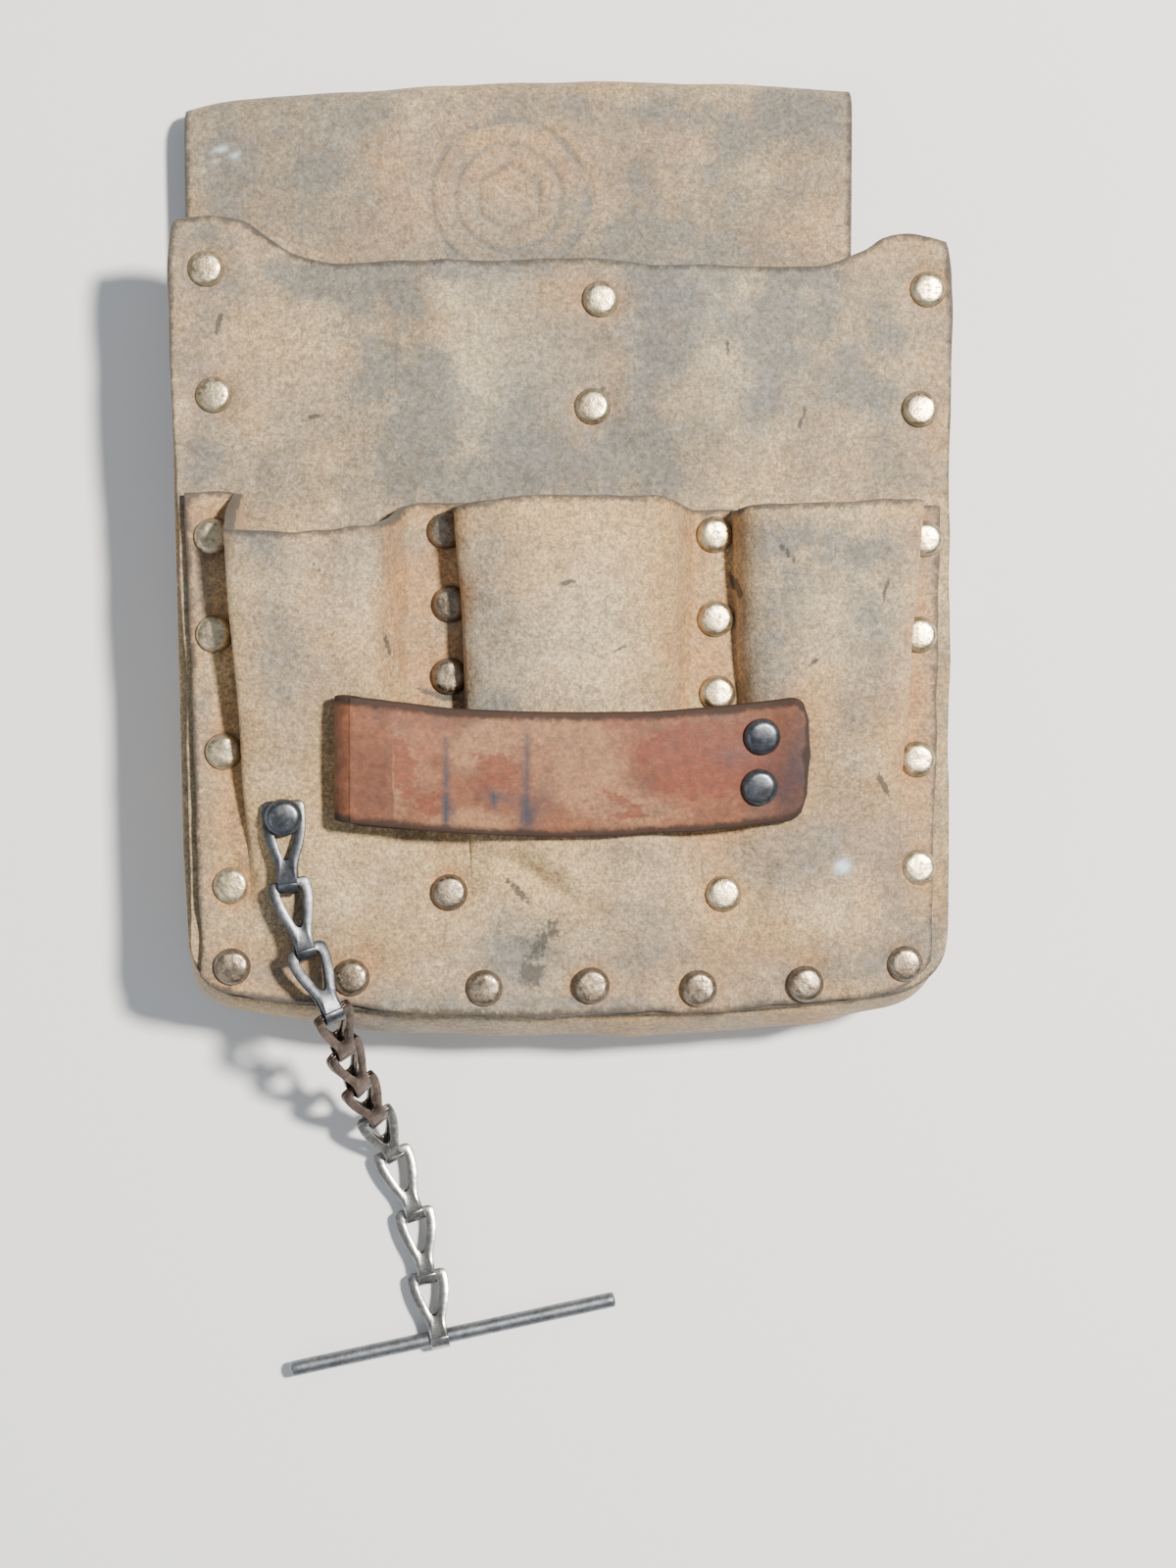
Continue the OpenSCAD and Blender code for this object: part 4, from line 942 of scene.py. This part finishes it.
def turned(bend, twist, side):
    """Rotation matrix for turns about X, Y and Z in degrees."""
    a, b, c = (radians(v) for v in (bend, twist, side))
    x = np.array([[1, 0, 0], [0, cos(a), -sin(a)], [0, sin(a), cos(a)]])
    y = np.array([[cos(b), 0, sin(b)], [0, 1, 0], [-sin(b), 0, cos(b)]])
    z = np.array([[cos(c), -sin(c), 0], [sin(c), cos(c), 0], [0, 0, 1]])
    return x @ y @ z


def link_places():
    """Where each link's fold or rivet is, and how the link is turned."""
    at, turn = np.array(CHAIN_START), turned(*LINK_POSE[0])
    places = [(at, turn)]
    for k in range(1, len(LINK_POSE)):
        at = at + turn @ np.array([0, -(RIVET_REACH if k == 1 else LINK_REACH), 0])
        turn = turn @ turned(*LINK_POSE[k])
        places.append((at, turn))
    return places


def bar_section(width, r=0.17):
    """Section of a strip of sheet metal, with eased edges: (across, up) from its middle."""
    w, h = width / 2, STOCK / 2
    return [(-w, -h + r), (-w, h - r), (-w + 0.3 * r, h - 0.3 * r), (-w + r, h), (w - r, h),
            (w - 0.3 * r, h - 0.3 * r), (w, h - r), (w, -h + r), (w - 0.3 * r, -h + 0.3 * r), (w - r, -h),
            (-w + r, -h), (-w + 0.3 * r, -h + 0.3 * r)]


def leaf_loops(length):
    """Outer and inner outline of one eye, as matching points seen from its middle."""
    top = length + 0.85
    outer = [(2.5, 0), (2.42, 2.2), (2.6, 4.2), (3.2, 6.2), (4.15, 8.8), (4.95, 11.6), (5.4, 14.2),
             (LEAF_HALF, top - 2.2), (5.3, top - 0.9), (4.6, top - 0.2), (3.6, top)]
    inner = [(0, 5.9), (0.55, 6.05), (0.95, 6.6), (1.3, 7.6), (1.9, 9.6), (2.55, 12), (2.9, 14.2),
             (2.95, top - 3.6), (2.75, top - 2.4), (2.1, top - 1.95)]

    def closed(half, middle_top):
        """The right half, mirrored to a whole outline."""
        right = half + [(0, middle_top)]
        return np.array(right + [(-px, py) for px, py in right[::-1] if px > 0])

    centre = np.array([0, length - LEAF_HALF])
    corner = atan2(-centre[1], outer[0][0])
    angles = np.linspace(-pi, pi, 84, endpoint=False)
    angles = np.sort(np.concatenate([angles, [corner, -pi - corner]]))

    rays = np.stack([np.cos(angles), np.sin(angles)], 1)

    def cast(poly):
        """Where rays from the middle leave an outline."""
        p = poly - centre
        e = np.roll(p, -1, axis=0) - p
        det = np.outer(rays[:, 1], e[:, 0]) - np.outer(rays[:, 0], e[:, 1])
        det[np.abs(det) < 1e-9] = np.inf
        reach = (p[:, 1] * e[:, 0] - p[:, 0] * e[:, 1]) / det
        share = (np.outer(rays[:, 0], p[:, 1]) - np.outer(rays[:, 1], p[:, 0])) / det
        reach = np.where(np.abs(share - 0.5) <= 0.5 + 1e-9, reach, 0)
        return centre + reach.max(axis=1)[:, None] * rays

    return cast(closed(outer, top)), cast(closed(inner, top - 1.9))


def ring_faces(count, section, closed):
    """Faces of a bar swept through count sections, with end faces if it isn't closed."""
    faces = []
    for i in range(count if closed else count - 1):
        k = (i + 1) % count
        for j in range(section):
            m = (j + 1) % section
            faces.append((i * section + j, i * section + m, k * section + m, k * section + j))
    if not closed:
        faces.append(tuple(range(section - 1, -1, -1)))
        faces.append(tuple((count - 1) * section + j for j in range(section)))
    return faces


def link_mesh(top, reach, ring_r):
    """Points and faces of one link, hung from the origin with its fold reach below it."""
    length = top + reach
    leaf_at, fold_at = (LEAF_GAP + STOCK) / 2, ring_r + STOCK / 2
    tilt = asin(fold_at / hypot(length, leaf_at)) - atan(leaf_at / length)
    leaf_len = length * cos(tilt) - leaf_at * sin(tilt)
    outer, inner = leaf_loops(leaf_len)
    points, faces = [], []
    for side in (1, -1):
        shape = []
        for o, i in zip(outer, inner):
            width = np.linalg.norm(i - o)
            across = (i - o) / width
            arch = 0.25 * ease((o[1] - 6) / 10) * side
            for s, up in bar_section(width):
                p = o + across * (s + width / 2)
                shape.append((p[0], p[1], fold_at + up - arch * (p[0] / LEAF_HALF) ** 2))
        shape = np.array(shape)
        c, s = cos(tilt), sin(tilt)
        y = shape[:, 1] * c + shape[:, 2] * s
        z = shape[:, 2] * c - shape[:, 1] * s
        base = len(points)
        points.extend(np.stack([shape[:, 0], y - reach, z * side], 1).tolist())
        faces.extend([tuple(base + n for n in q)[::side] for q in ring_faces(len(outer), SECTION, True)])
    base, count, overlap = len(points), 26, tilt + 0.03
    for a in np.linspace(pi / 2 - overlap, 3 * pi / 2 + overlap, count):
        for s, up in bar_section(WAIST_W - 0.1):
            r = fold_at + up
            points.append((s, r * cos(a) - reach, r * sin(a)))
    faces.extend([tuple(base + n for n in q) for q in ring_faces(count, SECTION, False)])
    return np.array(points), faces


def chain():
    """Three dark links on the front, three brown ones, four bright ones and the T-bar."""
    finishes = [DARK_STEEL] * 3 + [BROWN_STEEL] * 3 + [SILVER_STEEL] * 4
    places = link_places()
    for k, (at, turn) in enumerate(places):
        name, bright = "link_%02d" % (k + 1), k > 5
        top, reach = (RIVET_TOP, RIVET_REACH) if k == 0 else (0, LINK_REACH)
        ring_r = BAR_FOLD_R if k == 9 else FOLD_R
        points, faces = link_mesh(top, reach, ring_r)
        # darker inside each fold and along the bright links' cut edges
        inside = np.hypot(points[:, 1] + reach, points[:, 2]) < ring_r + 0.3
        cut_edge = np.isin(np.arange(len(points)) % SECTION, (0, 1, 6, 7)) & bright
        dirt_and_rim_shade = np.where(inside | cut_edge, 0.8, 0.1)
        mesh = new_mesh(name + "_metal", points @ turn.T + at, faces, {"dirt_and_rim_shade": dirt_and_rim_shade})
        place(name + "_metal", mesh, finishes[k], "bright_steel" if bright else "dark_steel", name, [name])
    at, turn = places[-1]
    profile = [(0, 90), (1.5, 90), (1.9, 89.75), (2.05, 89.3)]
    for z in np.linspace(88, 2, 60):
        profile.append((2.04 + 0.015 * sin(z * 0.31) * sin(z * 0.13 + 1), z))
    profile += [(2.05, 0.7), (1.9, 0.25), (1.5, 0), (0, 0)]
    points, faces = lathe(profile, 36)
    held_at = 41
    local = np.stack([points[:, 2] - held_at, points[:, 1] - LINK_REACH, -points[:, 0]], 1)
    mesh = new_mesh("t_bar_metal", local @ turn.T + at, faces, {"dirt_and_rim_shade": np.full(len(points), 0.1)})
    place("t_bar_metal", mesh, BAR_STEEL, "dark_steel", "t_bar", ["t_bar"])


front_panel()
pocket_panel()
back_panel()
gusset()
tool_sleeve()
strap_loop()
all_rivets()
chain()

for node in ("front_burrs", "back_burrs"):
    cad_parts[node].data.materials.clear()
    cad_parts[node].data.materials.append(DULL_AND_SHADED_NICKEL)
